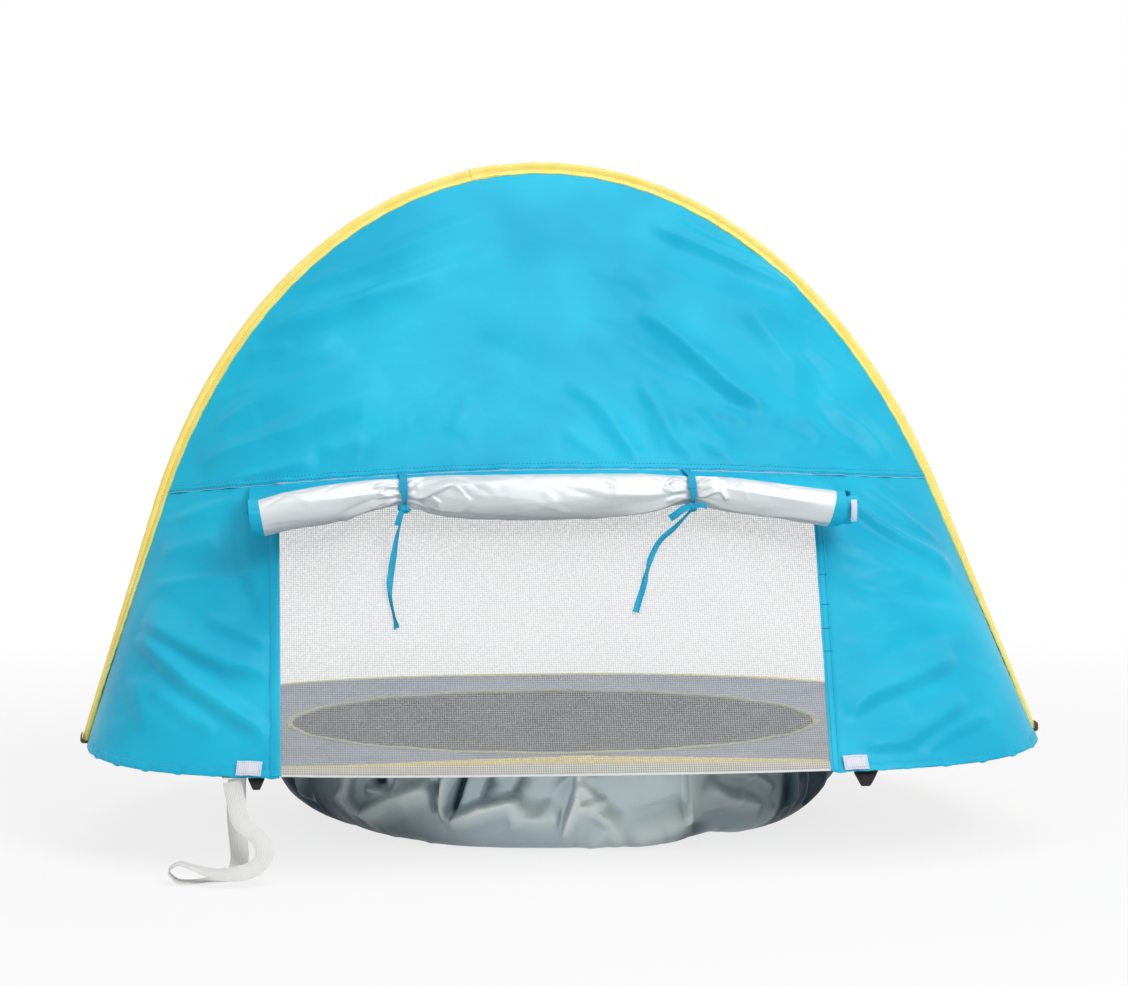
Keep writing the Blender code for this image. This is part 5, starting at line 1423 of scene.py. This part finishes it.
def tape_along(name, line, facing, wide, thick=0.0010, fold=0.0005):
    # A limp folded tape: a shallow channel, so that light breaks on its fold
    outlines = []
    for i, full in enumerate(np.broadcast_to(wide, len(line))):
        a = full / 2
        b = thick / 2
        dip = fold * sin(0.35 * i + 0.6)
        outlines.append([(s * a, -t * b + u * dip) for s, t, u in TAPE_SHAPE]
                        + [(s * a, t * b + u * dip) for s, t, u in TAPE_SHAPE[::-1]])
    return swept(name, line, np.cross(tangents(line), unit(facing)), outlines, BLUE_TAPE, smooth=38.0)


def knot(side, ends):
    # A flat overhand knot: two crossing turns over a small plump heart, and its short ends
    rings, cols = 14, 26
    points = []
    for v in pi * np.arange(rings + 1) / rings:
        for u in 2 * pi * np.arange(cols) / cols:
            radius = KNOT_RADIUS * (1.0 + 0.13 * cos(3 * u + 2.6 * v) + 0.07 * cos(5 * u - 3 * v + 1.0))
            points.append(radius * vec(1.22 * sin(v) * cos(u), 0.95 * sin(v) * sin(u), cos(v)))
    points = np.array(points)
    heart = body("tie_knot_" + side + "_tape", knot_at(side) + points, quads(rings + 1, cols), BLUE_TAPE,
                 80.0, points[:, [0, 2, 1]])
    bm = bmesh.new()
    bm.from_mesh(heart.data)
    bmesh.ops.remove_doubles(bm, verts=bm.verts, dist=1e-6)
    bm.to_mesh(heart.data)
    bm.free()
    settle(heart, "back_wall", "tie_knot_" + side)
    for k, (wide, *route) in enumerate(ends):
        line = smooth_route([knot_at(side) + p for p in np.array(route) * 0.001], 14)
        end = tape_along(f"tie_end_{side}_{k + 1}", line, vec(0.25, -1, 0.3), wide)
        settle(end, "back_wall")


def tie_band(side):
    # Down from the seam over the roll's top, round its waist and back up to the knot
    middle = tied_at(side)
    turns = np.radians(np.linspace(-176, 172, 44))
    ring = []
    for t in turns:
        radius = TIE_RADIUS - 0.0016 + 0.0007 * cos(3 * t)
        ring.append(middle + vec(0.0016 * sin(t * 0.5), -radius * sin(t), radius * cos(t)))
    ring = np.array(ring)
    pinch = TAPE_WIDTH * (1.0 - 0.5 * np.exp(-((np.degrees(turns) - 141) / 34) ** 2))
    band = tape_along("cover_tie_" + side + "_tape", ring, ring - middle, pinch, fold=0.0006)
    high = seam_at(TIES[side]) + vec(0, -0.0035, -0.002)
    low = middle + vec(0.0, -0.0125, 0.0150)
    drop = smooth_route([high, (high + low) / 2 + vec(0.0006, -0.0030, 0.0010), low,
                         middle + vec(-0.0005, -0.0190, 0.0040)], 20)
    lead = tape_along("cover_tie_" + side + "_lead", drop, vec(0, -1, 0.4), TAPE_WIDTH, fold=0.0004)
    settle(band, "back_wall", "cover_tie_" + side)
    settle(lead, "back_wall")


# The short ends: width, then places from the knot in mm
KNOT_ENDS = {"left": ((0.0068, (0, -3, 1), (-4, -6, -7), (-8, -6, -19)),
                      (0.0050, (1, -4, 1), (5, -5, 1), (8, -4, -2))),
             "right": ((0.0085, (-3, -4, 1), (-12, -7, -2), (-20, -7, -8), (-27, -5, -13)),
                       (0.0065, (2, -4, 1), (10, -6, 3), (18, -5, 1)))}
for side in TIES:
    knot(side, KNOT_ENDS[side])
for side in TIES:
    tie_band(side)

# Where each tail hangs on the window, and how much of its width it turns to the back along its
# length: a limp tape twists
TAILS = {"left": ([(-0.204, 0.246), (-0.208, 0.230), (-0.212, 0.214), (-0.215, 0.198), (-0.214, 0.182),
                   (-0.211, 0.167), (-0.208, 0.152)],
                  [(0, 0.6), (0.12, 0.4), (0.25, 0.65), (0.40, 1.0), (0.60, 0.95), (0.72, 0.5),
                   (0.84, 0.24), (0.92, 0.3), (0.97, 0.75), (1, 0.9)]),
         "right": ([(0.128, 0.254), (0.110, 0.242), (0.098, 0.225), (0.092, 0.210), (0.087, 0.195),
                    (0.081, 0.181), (0.076, 0.168)],
                   [(0, 0.6), (0.15, 0.55), (0.30, 0.45), (0.42, 0.75), (0.54, 0.85), (0.62, 0.5),
                    (0.70, 0.9), (1, 1.0)])}


def tail_point(x, z, clear):
    share = (z + HEM_DROP) / (seam_at(x)[2] + HEM_DROP)
    return window_point(x, share) + wall_normal(x, share) * clear


for side, (route, shown) in TAILS.items():
    line = [knot_at(side) + vec(0.0, -0.001, -0.5 * KNOT_RADIUS)]
    line += [tail_point(x, z, 0.0060 + 0.016 * max(0.0, 1 - i / 3)) for i, (x, z) in enumerate(route)]
    line = smooth_route(line, TAIL_STEPS)
    turned = np.arccos(np.interp(np.linspace(0, 1, TAIL_STEPS), *zip(*shown)))
    turned *= np.sign(np.linspace(0.68, -0.32, TAIL_STEPS))
    twist = wall_normal(route[3][0], 0.6) * np.cos(turned)[:, None] + vec(1, 0, 0) * np.sin(turned)[:, None]
    wide = TAIL_WIDTH * np.minimum(1.0, 0.5 + np.arange(TAIL_STEPS) / 14)
    tail = tape_along("tie_tail_" + side + "_tape", line, twist, wide, 0.0008, 0.0012)
    sewn_on(tail, stands_for="tie_tail_" + side)


# Stake loops: black webbing folded into a loop under each lower corner of the window, hung from a
# short strip that is sewn between the hem and the floor hoop. A ground stake goes through the loop.

# x, how far the loop hangs down, and its width at the strip and at its foot
STAKES = {"left": (-0.3742, 0.012, 0.019, 0.008), "right": (0.337, 0.016, 0.028, 0.010)}
TACK_Z = -0.0060
LOOP_TOP = -0.0080
LOOP_BELLY = 0.0058
LOOP_NECK = 0.4          # how wide the loop's turn is at its top, as a share of its belly
LOOP_STEPS = 48
BOX_ROW = ((-0.38, 0.004), (0.38, 0.004), (0.38, 0.014), (-0.38, 0.014), (-0.38, 0.004), (0.38, 0.014))

for side, (x, hang, wide, foot) in STAKES.items():
    back = hem_at(x)[1] + 0.0010
    line = [vec(x, back + reach, TACK_Z) for reach in np.linspace(0.0, 0.030, 16)]
    tack = swept("stake_strip_" + side, line, vec(1, 0, 0), flat_outline(wide, WEBBING_THICK), BLACK)
    settle(tack, "base", "stake_tack_" + side)
    row = along([vec(x + dx * wide, back + dy, TACK_Z - 0.0006) for dx, dy in BOX_ROW], 60)
    settle(stitches("stake_strip_stitches_" + side, row, vec(0, 0, -1), BLACK), "base")
    turns = np.linspace(0, 2 * pi, LOOP_STEPS, endpoint=False)
    down = (1 - np.cos(turns)) / 2
    belly = LOOP_BELLY * np.sin(turns) * (LOOP_NECK + (1 - LOOP_NECK) * down)
    line = np.stack([np.full(LOOP_STEPS, x), back + 0.0069 + belly, LOOP_TOP - hang * down], axis=1)
    outlines = [flat_outline(wide + (foot - wide) * d, WEBBING_THICK) for d in down]
    loop = swept("stake_loop_webbing_" + side, line, vec(1, 0, 0), outlines, BLACK, closed=True)
    settle(loop, "stake_loop_" + side, "stake_loop_" + side)


# Hook tabs: white hook tape sewn on the hem beside the window, with a stitched rectangle. The
# cover's lower corners stick to them when it is let down.

WHITE_THREAD = thread("white_thread", (170, 176, 196), (216, 220, 232))

for side, x in (("left", -0.382), ("right", 0.324)):
    run = unit(hem_at(x + 0.012) - hem_at(x - 0.012))
    rise = unit(vec(0.0, 0.62, 1.0))
    out = unit(np.cross(run, rise))
    middle = hem_at(x) + out * 0.0030 + rise * 0.0102
    line = [middle + run * s + out * (0.0006 * cos(s * 300)) for s in np.linspace(-0.0148, 0.0148, 20)]
    tab = swept("hook_tab_" + side + "_tape", line, rise, flat_outline(0.0180, 0.0014), HOOK)
    settle(tab, "base", "hook_tab_" + side)
    corners = [middle + run * sx * 0.0125 + rise * sy * 0.0066 + out * 0.0013
               for sx, sy in ((-1, -1), (1, -1), (1, 1), (-1, 1), (-1, -1))]
    settle(stitches("hook_tab_stitches_" + side, along(corners, 80), out, WHITE_THREAD, 0.0030,
                    (0.0024, 0.0007, 0.0006)), "base")


# The storage strap: a flat loop of white ribbed elastic that goes round the folded tent. Both ends
# are sewn behind the left lower corner of the wall, and its slack lies on the ground.

STRAP_WIDE = 0.0218
STRAP_THICK = 0.0014
STRAP_STEPS = 150
# Places in mm and the way the band faces there
STRAP = np.array((
    (-402, -206, -10.5, 0, -1, 0.1), (-398, -216, -31, 0, -1, 0.25), (-393, -228, -52, 0, -1, 0.5),
    (-383, -237, -62.5, 0, -0.69, 0.72), (-372, -245, -70.5, 0, -0.69, 0.72),
    (-365, -257, -81.5, 0, -0.69, 0.72), (-368, -268, -92.5, 0, -0.69, 0.72),
    (-380, -277, -101, 0, -0.69, 0.72), (-396, -281, -104.5, 0, -0.69, 0.72),
    (-414, -277, -105, 0, -0.5, 0.85), (-432, -266, -104, 0, -0.2, 1), (-450, -259, -99, 0, 0, 1),
    (-464, -256, -96.5, -0.2, 0, 1), (-474.5, -255, -105.5, -1, 0, 0), (-465, -256, -116, -0.1, 0, -1),
    (-450, -256, -117.5, 0, 0, -1), (-434, -250, -117.3, 0, 0, -1), (-419, -244, -116.5, 0, 0.2, -1),
    (-406, -238, -115, 0.1, 0.45, -0.85), (-397, -228, -109, 0.1, 0.7, -0.7),
    (-394, -217, -98, 0, 0.9, -0.5), (-395, -207, -83, 0, 1, -0.35), (-397, -198, -65, 0, 1, -0.2),
    (-398, -191, -45, 0, 1, -0.1), (-397, -188, -26, 0, 1, 0), (-396.5, -189, -10.5, 0, 1, 0)))


def elastic_look(m):
    # Ribbed elastic: fine cords along the band, crossed by the weft
    rib = m.lay().ribs("Y", 3300.0)
    soft = m.spot().noise(60.0, 3.0)
    return {"Base Color": (soft * 0.5 + rib * 0.5).mixed((222, 222, 220), (247, 247, 245)),
            "Normal": (rib * 0.7 + m.lay().ribs("X", 5200.0) * 0.3).relief(0.0005, 0.7)}


WHITE = finish("white_elastic", elastic_look, {"Roughness": 0.75, "Sheen Weight": 0.2})

route = smooth_route(STRAP[:, :3] * 0.001)
facing = smooth_route(STRAP[:, 3:])
keep = np.linspace(0, len(route) - 1, STRAP_STEPS).round().astype(int)
outlines = [flat_outline(STRAP_WIDE - 0.0010 * sin(i / 14.0) ** 2, STRAP_THICK) for i in range(STRAP_STEPS)]
side = np.cross(tangents(route[keep]), unit(facing[keep]))
strap = settle(swept("storage_strap_elastic", route[keep], side, outlines, WHITE), "base",
               "storage_strap")
line = [vec(x, -0.1964, -0.0069) for x in np.linspace(-0.4138, -0.3852, 16)]
tack = settle(swept("storage_strap_fixing", line, vec(0, 1, 0), flat_outline(0.0266, STRAP_THICK), WHITE),
              "base", "strap_tack")
